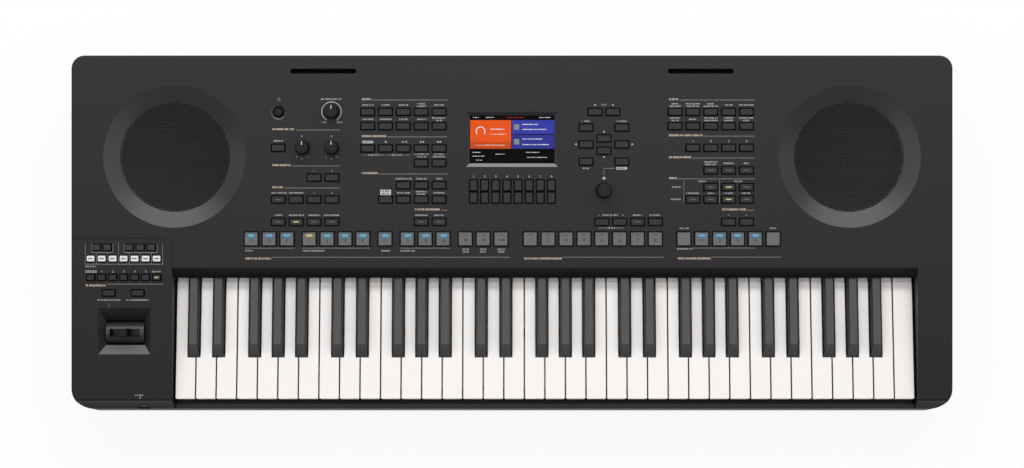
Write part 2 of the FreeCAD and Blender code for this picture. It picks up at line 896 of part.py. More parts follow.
def black_centres():
    """Middles of the five black keys from the octave's left edge, by note."""
    low_slot, high_slot = 3 * key_pitch / 5, 4 * key_pitch / 7
    high_start = 3 * key_pitch
    return {
        "c_sharp": 1.5 * low_slot,
        "d_sharp": 3.5 * low_slot,
        "f_sharp": high_start + 1.5 * high_slot,
        "g_sharp": high_start + 3.5 * high_slot,
        "a_sharp": high_start + 5.5 * high_slot,
    }


# Each white note: the black notes on its left and right
white_notes = {
    "c": (None, "c_sharp"),
    "d": ("c_sharp", "d_sharp"),
    "e": ("d_sharp", None),
    "f": (None, "f_sharp"),
    "g": ("f_sharp", "g_sharp"),
    "a": ("g_sharp", "a_sharp"),
    "b": ("a_sharp", None),
}


def key_tail(x, left, right_side, front):
    """Bar from the rear of a key to its boss on the pivot rod, bored for the rod."""
    bar = block(left, right_side, front, pivot_y - boss_length + overrun, tail_bottom, tail_top)
    boss_front = pivot_y - boss_length
    boss = block(
        x - boss_width / 2, x + boss_width / 2, boss_front, pivot_y + boss_reach,
        tail_top - boss_height, tail_top,
    )
    bore = rod_along(
        right, FreeCAD.Vector(x - boss_width, pivot_y, pivot_z), rod_radius + rod_clearance, 2 * boss_width
    )
    return bar.fuse(boss).cut(bore)


def white_key(index, left_black, right_black):
    """One white key of the octave, hollow from below, with its tail on the pivot rod."""
    centres = black_centres()
    left = index * key_pitch + key_gap / 2
    right_side = left + key_pitch - key_gap
    narrow_left = centres[left_black] + black_notch_width / 2 if left_black else left
    narrow_right = centres[right_black] - black_notch_width / 2 if right_black else right_side
    corners = [(left, key_front_y), (right_side, key_front_y)]
    if right_black:
        corners += [(right_side, shoulder_y), (narrow_right, shoulder_y)]
    corners += [(narrow_right, step_y), (narrow_left, step_y)]
    if left_black:
        corners += [(narrow_left, shoulder_y), (left, shoulder_y)]
    points = [FreeCAD.Vector(x, y, key_bottom) for x, y in corners]
    body = Part.Face(Part.makePolygon(points + points[:1])).extrude(up * key_height)
    fronts = [
        e for e in body.Edges
        if e.BoundBox.YMax < key_front_y + overrun and e.BoundBox.ZLength > e.BoundBox.XLength
    ]
    body = body.makeFillet(white_corner_radius, fronts)
    body = body.makeFillet(white_edge_radius, top_edges(body, white_top))
    ceiling = white_top - key_wall
    wide_hollow = block(
        left + key_wall, right_side - key_wall, key_front_y + key_wall, shoulder_y - key_wall,
        key_bottom - overrun, ceiling,
    )
    slim_hollow = block(
        narrow_left + key_wall, narrow_right - key_wall, key_front_y + key_wall, step_y - key_wall,
        key_bottom - overrun, ceiling,
    )
    tail = key_tail(
        (narrow_left + narrow_right) / 2, narrow_left + tail_side_gap, narrow_right - tail_side_gap,
        step_y - key_wall,
    )
    return body.cut([wide_hollow, slim_hollow]).fuse(tail).removeSplitter()


def black_key(centre):
    """One black key: a tapered top with a sloped front, a hollow core and its tail on the pivot rod."""
    base_z, top_z = white_top - black_sink, white_top + black_rise
    middle = (black_front_y + black_rear_y) / 2
    base = (centre, middle, black_base_width, black_rear_y - black_front_y)
    top_front = black_front_y + black_slope_length
    top = (centre, (top_front + black_rear_y) / 2, black_top_width, black_rear_y - top_front)
    crown = frustum(base, top, base_z, top_z)
    slanted = [e for e in crown.Edges if e.BoundBox.ZLength > black_sink and e.BoundBox.YMax < middle]
    crown = crown.makeFillet(black_edge_radius, top_edges(crown, top_z) + slanted)
    half_core = black_core_width / 2
    core_front = black_front_y + black_sink
    core = block(centre - half_core, centre + half_core, core_front, black_rear_y, key_bottom, base_z)
    half_hollow = half_core - key_wall
    hollow = block(
        centre - half_hollow, centre + half_hollow, core_front + key_wall, step_y - key_wall,
        key_bottom - overrun, white_top,
    )
    tail = key_tail(centre, centre - half_core, centre + half_core, step_y - key_wall)
    return crown.fuse(core).cut(hollow).fuse(tail).removeSplitter()


def octave_copies(key, count):
    """Copies of a key, one for each octave."""
    copies = []
    for octave in range(count):
        copy = key.copy()
        copy.translate(right * (keys_left + octave * octave_width))
        copies.append(copy)
    return copies


def make_keys():
    """All keys by note, so that every node holds the same note of each octave."""
    keys = {}
    for index, (note, (left_black, right_black)) in enumerate(white_notes.items()):
        keys[f"keys_{note}"] = octave_copies(white_key(index, left_black, right_black), octave_count)
    top_key = white_key(0, None, None)
    top_key.translate(right * (keys_left + octave_count * octave_width))
    keys["keys_c"].append(top_key)
    for note, centre in black_centres().items():
        keys[f"keys_{note}"] = octave_copies(black_key(centre), octave_count)
    return keys


def key_middles():
    """X of every white key's middle, and of every black key's middle."""
    whites = [keys_left + (index + 1 / 2) * key_pitch for index in range(white_count)]
    blacks = []
    for octave in range(octave_count):
        blacks += [keys_left + octave * octave_width + centre for centre in black_centres().values()]
    return whites, blacks


def tail_middles():
    """X of every key's tail."""
    centres = black_centres()
    half_notch = black_notch_width / 2
    middles = []
    for octave in range(octave_count):
        start = keys_left + octave * octave_width
        for index, (left_black, right_black) in enumerate(white_notes.values()):
            low = centres[left_black] + half_notch if left_black else index * key_pitch
            high = centres[right_black] - half_notch if right_black else (index + 1) * key_pitch
            middles.append(start + (low + high) / 2)
        middles += [start + centre for centre in centres.values()]
    return middles + [keys_right - key_pitch / 2]


def make_chassis():
    """Key bed plate with ears for the pivot rod and guide posts that run inside the keys."""
    plate = block(
        keys_left, keys_right, key_front_y + chassis_front_inset, pivot_y + chassis_rear_reach,
        chassis_bottom, chassis_top,
    )
    ears = []
    edges = [keys_left + octave * octave_width for octave in range(octave_count + 1)] + [keys_right]
    for x in edges:
        x = min(max(x, keys_left + ear_thickness / 2), keys_right - ear_thickness / 2)
        ears.append(centred_block(x, pivot_y, ear_thickness, ear_depth, chassis_bottom, pivot_z + ear_top))
    whites, blacks = key_middles()
    white_guide_y = key_front_y + guide_inset + guide_depth / 2
    black_guide_y = black_front_y + guide_inset / 2
    places = [(x, white_guide_y) for x in whites] + [(x, black_guide_y) for x in blacks]
    guide_top = key_bottom + guide_entry
    guides = [centred_block(*place, guide_width, guide_depth, chassis_bottom, guide_top) for place in places]
    bore = rod_along(
        right, FreeCAD.Vector(keys_left - beyond / 4, pivot_y, pivot_z), rod_radius + rod_clearance, beyond
    )
    return plate.multiFuse(ears + guides).cut(bore).removeSplitter()


def make_rod():
    """Steel rod that all keys turn on."""
    start = FreeCAD.Vector(keys_left - rod_overhang / 2, pivot_y, pivot_z)
    return rod_along(right, start, rod_radius, key_span + rod_overhang)


def pressed_drop(y):
    """How far the underside of a key comes down at depth y when it is pressed home."""
    return (pivot_y - y) * math.sin(key_travel)


def make_felts():
    """Felt strips that stop the white keys at the front and the black keys behind them."""
    strips = []
    for front in (key_front_y + felt_inset, black_front_y + black_felt_inset):
        top = key_bottom - pressed_drop(front) - felt_clearance
        strips.append(block(keys_left, keys_right, front, front + felt_width, chassis_top, top))
    return strips


def contact_board_top():
    """Height of the key contact board's top."""
    return chassis_top + contact_board_thickness


def make_contact_board():
    """Board with the key contacts, on the key bed."""
    y = pivot_y - dome_reach - contact_board_depth / 2
    return block(keys_left, keys_right, y, y + contact_board_depth, chassis_top, contact_board_top())


def make_domes():
    """Rubber contact domes, one under each key's tail, at the height of a pressed key."""
    y = pivot_y - dome_reach
    top = tail_bottom - pressed_drop(y - dome_top_radius) - felt_clearance
    height = top - contact_board_top()
    return [
        Part.makeCone(dome_base_radius, dome_top_radius, height, FreeCAD.Vector(x, y, contact_board_top()))
        for x in tail_middles()
    ]


# Buttons, knobs and their electronics

def button_cap(x, v, width, depth, rise, margin):
    """One button: a rounded cap, a flange that keeps it under the panel and a stem over its switch."""
    flange_top = -case_wall - flange_clearance
    flange_bottom = flange_top - flange_thickness
    cap = soft_block(x, v, width, depth, flange_bottom, rise, button_corner_radius, button_edge_radius)
    grown = 2 * (button_gap + margin)
    flange = centred_block(x, v, width + grown, depth + grown, flange_bottom, flange_top)
    stem = centred_block(x, v, stem_width, stem_width, -stem_drop, flange_bottom)
    return on_panel(cap.multiFuse([flange, stem]))


def make_power_button():
    """Round power button with a flange and a stem."""
    x, v = power_spot
    flange_top = -case_wall - flange_clearance
    cap = disc(x, v, power_radius, flange_top, power_rise)
    cap = cap.makeFillet(button_edge_radius, top_edges(cap, power_rise))
    flange = disc(x, v, power_radius + button_gap + flange_margin, flange_top - flange_thickness, flange_top)
    stem = centred_block(x, v, stem_width, stem_width, -stem_drop, flange_top)
    return on_panel(cap.multiFuse([flange, stem]))


def make_switches():
    """Tact switches on the boards, one under each button's stem."""
    spots = [power_spot]
    for _, places in list(panel_buttons.values()) + list(end_buttons.values()):
        spots += places
    top = -stem_drop - button_travel - switch_clearance
    return [
        on_panel(centred_block(x, v, switch_width, switch_width, -board_depth_below, top)) for x, v in spots
    ]


def make_knob(spot, radius, top_radius, height, pointed):
    """Knob with a skirt, a tapered grip and a stem that turns in its potentiometer."""
    x, v = spot
    bottom = knob_clearance
    skirt = disc(x, v, radius + knob_skirt_reach, bottom, bottom + knob_skirt)
    grip = Part.makeCone(radius, top_radius, height - knob_skirt, FreeCAD.Vector(x, v, bottom + knob_skirt))
    top = bottom + height
    grip = grip.makeFillet(knob_edge_radius, top_edges(grip, top))
    stem_bottom = pot_floor + switch_clearance - board_depth_below
    stem = disc(x, v, stem_radius, stem_bottom, bottom)
    knob = fused([skirt, grip, stem])
    if pointed:
        groove = block(
            x - pointer_width / 2, x + pointer_width / 2, v, v + radius, top - pointer_depth, top + overrun
        )
        knob = knob.cut(groove)
    return on_panel(knob)


def make_pots():
    """Potentiometer and encoder bodies that stand on the boards, bored for the knobs' stems."""
    pots = []
    for x, v in knob_spots:
        body = centred_block(x, v, pot_width, pot_width, -board_depth_below, pot_height - board_depth_below)
        bore = disc(x, v, stem_radius + stem_running_clearance, pot_floor - board_depth_below, 0)
        pots.append(on_panel(body.cut(bore)))
    return pots


def board_plate(x0, x1, v0, v1):
    """Circuit board under the panel."""
    return on_panel(block(x0, x1, v0, v1, -board_depth_below - board_thickness, -board_depth_below))


def make_panel_boards():
    """Left and right boards under the main panel and a small one under the left end."""
    low, high = [share * panel_depth for share in board_rows_shares]
    boards = []
    for left, right_side in (left_board_shares, right_board_shares):
        boards.append(board_plate(left * case_width, right_side * case_width, low, high))
    left, right_side, near_seam, far = end_board_shares
    x0, v1 = end_spot(left, near_seam)
    x1, v0 = end_spot(right_side, far)
    boards.append(board_plate(x0, x1, v0, v1))
    return boards


def make_display():
    """Clear window behind the display recess, and the display panel behind the window."""
    x, v = display_spot
    size = (screen_width + 2 * window_margin, screen_height + 2 * window_margin)
    top = -bezel_depth - bezel_land
    window = centred_block(x, v, *size, top - window_thickness, top)
    panel = centred_block(x, v, *size, top - window_thickness - display_thickness, top - window_thickness)
    return on_panel(window), on_panel(panel)


# Speakers

def hexagon(x, y, width, z):
    """Closed outline of a hexagonal hole."""
    radius = width / math.sqrt(3)
    turns = [math.radians(30 + 60 * side) for side in range(6)]
    corners = [FreeCAD.Vector(x + radius * math.cos(t), y + radius * math.sin(t), z) for t in turns]
    return Part.makePolygon(corners + corners[:1])


def grille_top():
    """Level of the grille's top face below the panel."""
    return -dish_depth - dish_lip


def make_grille(x, v):
    """Perforated round grille behind the mouth of the speaker dish."""
    radius = dish_inner_radius + grille_margin
    bottom = grille_top() - grille_thickness
    rim = Part.Wire(Part.makeCircle(radius, FreeCAD.Vector(x, v, bottom)))
    row_pitch = grille_hole_pitch * math.sqrt(3) / 2
    limit = dish_inner_radius - grille_rim
    rows = int(limit / row_pitch)
    holes = []
    for row in range(-rows, rows + 1):
        offset = grille_hole_pitch / 2 * (row % 2)
        columns = int(limit / grille_hole_pitch) + 1
        for column in range(-columns, columns + 1):
            dx, dy = column * grille_hole_pitch + offset, row * row_pitch
            if math.hypot(dx, dy) < limit:
                holes.append(hexagon(x + dx, v + dy, grille_hole_width, bottom))
    sheet = Part.Face([rim] + holes)
    return on_panel(sheet.extrude(up * grille_thickness))


def basket_levels():
    """Levels of the basket's flange underside and of its bottom."""
    flange_bottom = -dish_boss_depth - basket_flange
    return flange_bottom, flange_bottom - basket_depth


def make_basket(x, v):
    """Speaker basket: flange under the dish, a ring that holds the grille up, a windowed cone and a floor."""
    seat_radius = dish_inner_radius + grille_margin
    flange_radius = seat_radius + basket_flange_overlap
    flange_bottom, bottom = basket_levels()
    mouth = dish_inner_radius - basket_wall
    flange = disc(x, v, flange_radius, flange_bottom, -dish_boss_depth)
    ring = disc(x, v, seat_radius, -dish_boss_depth, grille_top() - grille_thickness)
    body = Part.makeCone(
        basket_bottom_radius, dish_inner_radius, basket_depth, FreeCAD.Vector(x, v, bottom)
    )
    space = Part.makeCone(
        basket_bottom_radius - basket_wall, mouth, basket_depth - basket_wall,
        FreeCAD.Vector(x, v, bottom + basket_wall),
    )
    throat = disc(x, v, mouth, flange_bottom - overrun / 2, 0)
    windows = []
    for turn in range(4):
        window = block(
            x - basket_window_width / 2, x + basket_window_width / 2, v, v + flange_radius,
            bottom + 3 * basket_wall, flange_bottom - 4 * basket_wall,
        )
        window.rotate(FreeCAD.Vector(x, v, 0), up, 45 + 90 * turn)
        windows.append(window)
    return on_panel(fused([flange, ring, body]).cut([space, throat] + windows))


def make_cone(x, v):
    """Paper cone with a flat rim that is glued in the basket's throat."""
    flange_bottom, _ = basket_levels()
    rim_radius = dish_inner_radius - basket_wall - cone_clearance
    top = flange_bottom + basket_flange
    outer = Part.makeCone(cone_bottom_radius, rim_radius, cone_depth, FreeCAD.Vector(x, v, top - cone_depth))
    inner = Part.makeCone(
        cone_bottom_radius - cone_wall, rim_radius - cone_wall, cone_depth,
        FreeCAD.Vector(x, v, top - cone_depth + cone_wall),
    )
    return on_panel(outer.cut(inner))


def make_magnet(x, v):
    """Ring magnet glued to the bottom of the basket."""
    _, bottom = basket_levels()
    return on_panel(disc(x, v, magnet_radius, bottom - magnet_height, bottom))


# Joystick

def joystick_axis():
    """Middle of the barrel in the panel's own frame."""
    x, v = joystick_spot
    return FreeCAD.Vector(x, v - recess_floor_shift, -barrel_axis_depth)


def make_barrel():
    """Rocking barrel with a slot for the stick and a pin at each end."""
    axis = joystick_axis()
    half_length = barrel_length / 2
    body = rod_along(right, axis - right * half_length, barrel_radius, barrel_length)
    reach = half_length + barrel_pin_length
    pins = rod_along(right, axis - right * reach, barrel_pin_radius, 2 * reach)
    slot_top = axis.z + 2 * barrel_radius
    slot = centred_block(
        axis.x, axis.y, barrel_slot_length, barrel_slot_width, axis.z - barrel_slot_floor, slot_top
    )
    hole = rod_along(
        back, axis - back * stick_pin_length / 2, stick_pin_radius + pin_clearance, stick_pin_length
    )
    return on_panel(body.fuse(pins).cut([slot, hole]).removeSplitter())


def make_stick():
    """Stick with a rounded nub and a cross pin that it tilts on inside the barrel."""
    axis = joystick_axis()
    hub = rod_along(back, axis - back * stick_length / 2, stick_hub_radius, stick_length)
    blade = centred_block(axis.x, axis.y, stick_width, stick_length, axis.z, axis.z + stick_rise)
    base = axis.z + stick_rise - overrun
    nub = soft_block(
        axis.x, axis.y, nub_width, nub_length, base, base + nub_height, nub_radius, nub_radius * 2 / 3
    )
    pin_length = stick_pin_length - 2 * pin_clearance
    pin = rod_along(back, axis - back * pin_length / 2, stick_pin_radius, pin_length)
    return on_panel(fused([hub, blade, nub, pin]))


def make_bracket():
    """Bracket under the recess whose two ears carry the barrel's pins."""
    axis = joystick_axis()
    inner = barrel_length / 2 + bracket_side_gap
    outer = inner + bracket_wall
    top = -recess_depth - recess_wall
    bottom = axis.z - bracket_drop
    ears = centred_block(axis.x, axis.y, 2 * outer, 2 * barrel_radius, bottom, top)
    reach = 2 * (barrel_radius + overrun)
    space = centred_block(axis.x, axis.y, 2 * inner, reach, bottom + bracket_wall / 2, top + overrun)
    bore = rod_along(right, axis - right * 2 * outer, barrel_pin_radius + pin_clearance, 4 * outer)
    return on_panel(ears.cut([space, bore]))


# Sockets and the main board

def jack_socket(mouth, outward, body_gap, nozzle_length):
    """Quarter inch jack: a square body behind the wall, a nozzle through it and a blind bore."""
    inward = outward * -1
    nozzle = rod_along(inward, mouth, jack_nozzle_radius, nozzle_length)
    start = mouth + inward * body_gap
    half = jack_body_width / 2
    y0, y1 = sorted((start.y, (start + inward * jack_body_length).y))
    body = block(start.x - half, start.x + half, y0, y1, start.z - half, start.z + half)
    bore = rod_along(inward, mouth - inward * overrun, jack_bore_radius, jack_bore_length + overrun)
    return fused([nozzle, body]).cut(bore)


def make_rear_sockets():
    """Pedal and output jacks, two ports and the power inlet on the main board."""
    z = socket_height()
    body_gap = case_wall + jack_hole_clearance
    sockets = []
    for share in pedal_jack_shares + output_jack_shares:
        mouth = FreeCAD.Vector(share * case_width, half_depth, z)
        sockets.append(jack_socket(mouth, back, body_gap, body_gap + overrun))
    for share in port_shares:
        x = share * case_width
        wide, tall = port_width / 2, port_height / 2
        front = half_depth - port_length
        low, high = z - tall - port_wall, z + tall + port_wall
        body = block(x - wide - port_wall, x + wide + port_wall, front, half_depth, low, high)
        stand = block(x - wide, x + wide, front, half_depth - body_gap, z - jack_body_width / 2, z)
        hole = block(x - wide, x + wide, front + port_wall * 2, half_depth + overrun, z - tall, z + tall)
        sockets.append(fused([body, stand]).cut(hole))
    mouth = FreeCAD.Vector(inlet_share * case_width, half_depth, z)
    half = jack_body_width / 2
    body = block(
        mouth.x - half, mouth.x + half, half_depth - body_gap - jack_body_length / 2, half_depth - body_gap,
        z - half, z + half,
    )
    nozzle = rod_along(back * -1, mouth, jack_nozzle_radius, body_gap + overrun)
    bore = rod_along(back * -1, mouth + back * overrun, inlet_bore_radius, inlet_depth + overrun)
    pin = rod_along(back * -1, mouth - back * port_wall, inlet_pin_radius, inlet_depth - port_wall)
    sockets += [fused([body, nozzle]).cut(bore), pin]
    return sockets


def make_phones_jack():
    """Phones jack behind its opening in the front edge of the left end."""
    mouth = phones_spot() + back * (phones_recess_depth - phones_flange)
    body_gap = phones_spot().y + case_wall + nose_setback - mouth.y
    jack = jack_socket(mouth, back * -1, body_gap, body_gap + overrun)
    nut = rod_along(back, mouth, phones_recess_radius - jack_hole_clearance, phones_flange)
    bore = rod_along(back, mouth - back * overrun, jack_bore_radius, phones_flange + 2 * overrun)
    return fused([jack, nut.cut(bore)])


def make_main_board():
    """Main circuit board on its standoffs behind the key bed."""
    x, y = main_board_middle()
    z = floor_top + main_board_rise
    return block(
        x - main_board_length / 2, x + main_board_length / 2, y - main_board_depth / 2,
        half_depth - case_wall - jack_hole_clearance, z, z + board_thickness,
    )


os.makedirs("parts", exist_ok=True)
export("upper_case", make_upper_case())
export("left_end_panel", make_left_end())
export("lower_case", make_lower_case())
export("rubber_feet", make_feet())
export("case_screws", make_screws())
for node, keys in make_keys().items():
    export(node, keys)
export("key_chassis", make_chassis())
export("key_pivot_rod", make_rod())
export("key_stop_felts", make_felts())
export("key_contact_board", make_contact_board())
export("key_contact_domes", make_domes())
for node, (cap, spots) in list(panel_buttons.items()) + list(end_buttons.items()):
    export(node, [button_cap(x, v, *cap) for x, v in spots])
export("power_button", make_power_button())
export("tact_switches", make_switches())
export("volume_knob", make_knob(volume_spot, knob_radius, knob_top_radius, knob_height, True))
export("live_knob_left", make_knob(live_left_spot, knob_radius, knob_top_radius, knob_height, True))
export("live_knob_right", make_knob(live_right_spot, knob_radius, knob_top_radius, knob_height, True))
export("data_dial", make_knob(dial_spot, dial_radius, dial_top_radius, dial_height, False))
export("knob_pots", make_pots())
export("panel_boards", make_panel_boards())
window, display_panel = make_display()
export("display_window", window)
export("display_panel", display_panel)
export("speaker_grilles", [make_grille(*spot) for spot in speaker_spots])
baskets = [make_basket(*spot) for spot in speaker_spots]
magnets = [make_magnet(*spot) for spot in speaker_spots]
export("speaker_baskets", baskets + magnets)
export("speaker_cones", [make_cone(*spot) for spot in speaker_spots])
export("joystick_barrel", make_barrel())
export("joystick_stick", make_stick())
export("joystick_bracket", make_bracket())
export("rear_sockets", make_rear_sockets())
export("phones_jack", make_phones_jack())
export("main_board", make_main_board())
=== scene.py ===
import json
import math
import random
from functools import partialmethod

import bmesh
import bpy
from bpy.props import FloatProperty, FloatVectorProperty, PointerProperty
from mathutils import Matrix, Vector


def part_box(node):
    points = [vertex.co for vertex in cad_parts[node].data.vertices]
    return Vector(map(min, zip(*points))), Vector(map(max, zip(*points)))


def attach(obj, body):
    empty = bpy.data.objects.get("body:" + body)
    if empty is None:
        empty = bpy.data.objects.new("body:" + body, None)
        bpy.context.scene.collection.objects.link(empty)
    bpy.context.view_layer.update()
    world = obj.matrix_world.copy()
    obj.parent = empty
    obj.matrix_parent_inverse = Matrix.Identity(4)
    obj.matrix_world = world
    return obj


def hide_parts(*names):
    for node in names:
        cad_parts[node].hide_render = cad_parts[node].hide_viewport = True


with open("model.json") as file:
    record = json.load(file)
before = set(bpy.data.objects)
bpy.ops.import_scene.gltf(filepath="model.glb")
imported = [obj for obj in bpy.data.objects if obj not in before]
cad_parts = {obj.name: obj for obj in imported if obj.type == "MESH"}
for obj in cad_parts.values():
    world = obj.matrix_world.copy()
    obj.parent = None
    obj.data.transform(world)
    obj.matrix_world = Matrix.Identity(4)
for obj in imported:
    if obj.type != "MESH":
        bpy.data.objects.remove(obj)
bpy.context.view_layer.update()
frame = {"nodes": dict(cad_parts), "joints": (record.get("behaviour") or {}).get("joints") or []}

bl_info = {
    "name": "Arranger keyboard finish",
    "version": (1, 0, 0),
    "blender": (4, 5, 0),
    "location": "3D View > Sidebar > Keyboard",
    "description": "Finishes, printed marks, lamps, grilles and stage for the arranger keyboard",
    "category": "Object",
}

nodes = frame["nodes"]
joints = {joint["name"]: joint for joint in frame["joints"]}

# Sizes of the case, and the height that the lights face
mm = 0.001
# The panel's front edge and length, over which its painted shade runs from dark in front to pale at the rear
panel_front, panel_length = -239.0 * mm, 392.0 * mm
# The drop above the keys gets painted shade: full at its depth, and half as strong in front of the nose
nose_y, drop_depth = -120.0 * mm, 8.0 * mm
# A place on the panel counts as sunk below this depth
sunk_depth = 0.15 * mm
speaker_dish, power_dish = 82.0 * mm, 9.6 * mm
key_front_gap = 5.0 * mm
ledge_height, ledge_clearance = 8.0 * mm, 0.5 * mm
light_aim = 90.0 * mm

# Sizes of the controls and the display; levels and depths are measured from the panel's plane
cap_gap = 0.6 * mm
pad_level, button_level, power_level = 2.6 * mm, 2.2 * mm, 1.2 * mm
# Thickness of the painted shade frames round the caps and of a layer of the screen's picture
film = 0.03 * mm
glass_length, glass_thickness, glass_depth = 58.7 * mm, 1.0 * mm, 4.7 * mm
picture_depth = 5.38 * mm
# Knobs: radius of the grip's foot, radius of the top, height
small_knob = (7.9 * mm, 7.0 * mm, 12.9 * mm)
large_knob = (8.9 * mm, 7.8 * mm, 13.9 * mm)

# The panel's own frame: its origin is on the data dial's axis, in the panel's plane
dial_joint = joints["data_dial_turn"]
panel_tilt = math.atan2(-dial_joint["axis"][1], dial_joint["axis"][2])
panel_turn = Matrix.Rotation(panel_tilt, 4, "X")
panel_frame = Matrix.Translation(dial_joint["pos_m"]) @ panel_turn
panel_up = panel_turn.to_3x3() @ Vector((0, 0, 1))
to_panel = panel_frame.inverted()

# The photograph's pixels on the panel's plane
pixel = 1.1417 * mm
dial_pixel = (603.9, 191.02)
view_pixel = (512.0, 234.4)
photo_width = 1024
scale_row_pixel = (124.0, 253.4)
power_pixel = (278.4, 112.4)
# Radius of the power button's well, which gets painted shade
power_well = 6.0 * pixel
window_pixels = ((465.0, 169.6), (559.0, 109.8))
joystick_pixels = ((96.0, 357.5), (151.0, 300.0))


def panel_xy(px, py):
    """Place on the panel's plane, in its own frame, of a pixel of the photograph."""
    return (px - dial_pixel[0]) * pixel, (dial_pixel[1] - py) * pixel


def panel_point(px, py, height=0.0):
    """Point over a pixel of the photograph, at a height above the panel's plane."""
    x, y = panel_xy(px, py)
    return panel_frame @ Vector((x, y, height))


# Sizes and colours that a user may change

def length(name, description, default):
    """A length property in metres."""
    return FloatProperty(name=name, description=description, default=default, unit="LENGTH", precision=5)


def power(name, description, default):
    """A lamp's power in watts."""
    return FloatProperty(name=name, description=description, default=default, unit="POWER")


def share(name, description, default):
    """A property between nought and one."""
    return FloatProperty(name=name, description=description, default=default, subtype="FACTOR", min=0, max=1)


def colour(name, description, default):
    """A colour property."""
    return FloatVectorProperty(
        name=name, description=description, default=default, subtype="COLOR", size=3, min=0, max=1
    )


class CaseLook(bpy.types.PropertyGroup):
    """Colours of the case and of what is printed on it."""
    panel: colour("Panel", "Moulded plastic of the panel and the ends", (0.0110, 0.0111, 0.0128))
    # Colour of the painted highlight on the recess slopes that face the rear
    slope_highlight: colour("Bezel", "Slopes round the display and the joystick", (0.285, 0.285, 0.289))
    base: colour("Base", "Moulded plastic of the bottom tray", (0.0135, 0.0135, 0.0143))
    grain: length("Grain", "Size of the moulded grain", 0.0005)
    ink: colour("Ink", "Pale printed marks", (0.30, 0.30, 0.31))
    bright_ink: colour("Bright ink", "White printed blocks, arrows and pointers", (0.48, 0.48, 0.48))
    gold: colour("Gold", "Gold printed headings", (0.46, 0.36, 0.285))
    pale_gold: colour("Pale gold", "Lines after the headings", (0.28, 0.23, 0.19))
    ink_height: length("Ink height", "Thickness of a printed mark", 0.00006)


class KeyLook(bpy.types.PropertyGroup):
    """Colours of the keys."""
    white: colour("White keys", "Glossy white plastic", (0.84, 0.815, 0.805))
    black: colour("Black keys", "Satin black plastic", (0.0165, 0.0175, 0.0200))


class ControlLook(bpy.types.PropertyGroup):
    """Colours and sizes of buttons, pads, lamps, knobs and the display."""
    button: colour("Buttons", "Dark button caps", (0.0092, 0.0092, 0.0097))
    pad: colour("Pads", "Grey pads", (0.109, 0.110, 0.116))
    white_button: colour("White buttons", "Pale button caps", (0.80, 0.80, 0.80))
    knob: colour("Knobs", "Matt black knobs", (0.007, 0.007, 0.007))
    stick: colour("Joystick", "Satin black joystick", (0.017, 0.017, 0.018))
    blue_lamp: colour("Blue lamp", "Lit lamps of the pads", (0.17, 0.42, 0.50))
    amber_lamp: colour("Amber lamp", "Lit lamps of buttons", (0.60, 0.53, 0.33))
    dead_lamp: colour("Unlit lamp", "Lamp windows that are off", (0.075, 0.075, 0.078))
    orange: colour("Orange", "Warm blocks of the screen", (0.82, 0.09, 0.006))
    violet: colour("Violet", "Cool blocks of the screen", (0.034, 0.044, 0.385))
    # Width of the painted shade round each cap's opening
    shade_frame_width: length("Cap frame", "Width of the black frame round a cap's opening", 0.00065)
    flute_depth: length("Flute depth", "Depth of the flutes round a knob", 0.00035)


class GrilleLook(bpy.types.PropertyGroup):
    """Sizes and colour of the speaker grilles."""
    pitch: length("Hole pitch", "Distance between neighbouring holes", 0.0023)
    hole: length("Hole width", "Width of a hexagonal hole", 0.00172)
    thickness: length("Sheet", "Thickness of the sheet", 0.0008)
    sag: length("Dish", "How far the middle of the grille lies below its rim", 0.0065)
    metal: colour("Metal", "Painted sheet", (0.018, 0.018, 0.019))


class StageLook(bpy.types.PropertyGroup):
    """Light and floor."""
    floor: colour("Floor", "Pale floor", (0.86, 0.86, 0.86))
    top_light: power("Top light", "Wide soft light above", 20.6)
    back_light: power("Back light", "Soft light behind", 34.0)
    side_light: power("Side lights", "Soft light at each end", 3.5)
    sky: share("Sky", "Strength of the even light from all sides", 0.3)
    distance: length("Camera distance", "From the panel to the camera", 2.5)


# Materials

class Sock:
    """A value in a material. Sums of these add Math nodes."""

    def __init__(self, finish, socket):
        self.finish, self.socket = finish, socket

    def maths(self, operation, *others):
        return self.finish.node("ShaderNodeMath", {"operation": operation}, dict(enumerate((self, *others))))

    def held(self):
        return self.maths("MAXIMUM", 0.0).maths("MINIMUM", 1.0)

    __add__ = __radd__ = partialmethod(maths, "ADD")
    __sub__ = partialmethod(maths, "SUBTRACT")
    __rsub__ = partialmethod(maths, "MULTIPLY_ADD", -1.0)
    __mul__ = partialmethod(maths, "MULTIPLY")
    __truediv__ = partialmethod(maths, "DIVIDE")
    __lt__ = partialmethod(maths, "LESS_THAN")
    __gt__ = partialmethod(maths, "GREATER_THAN")


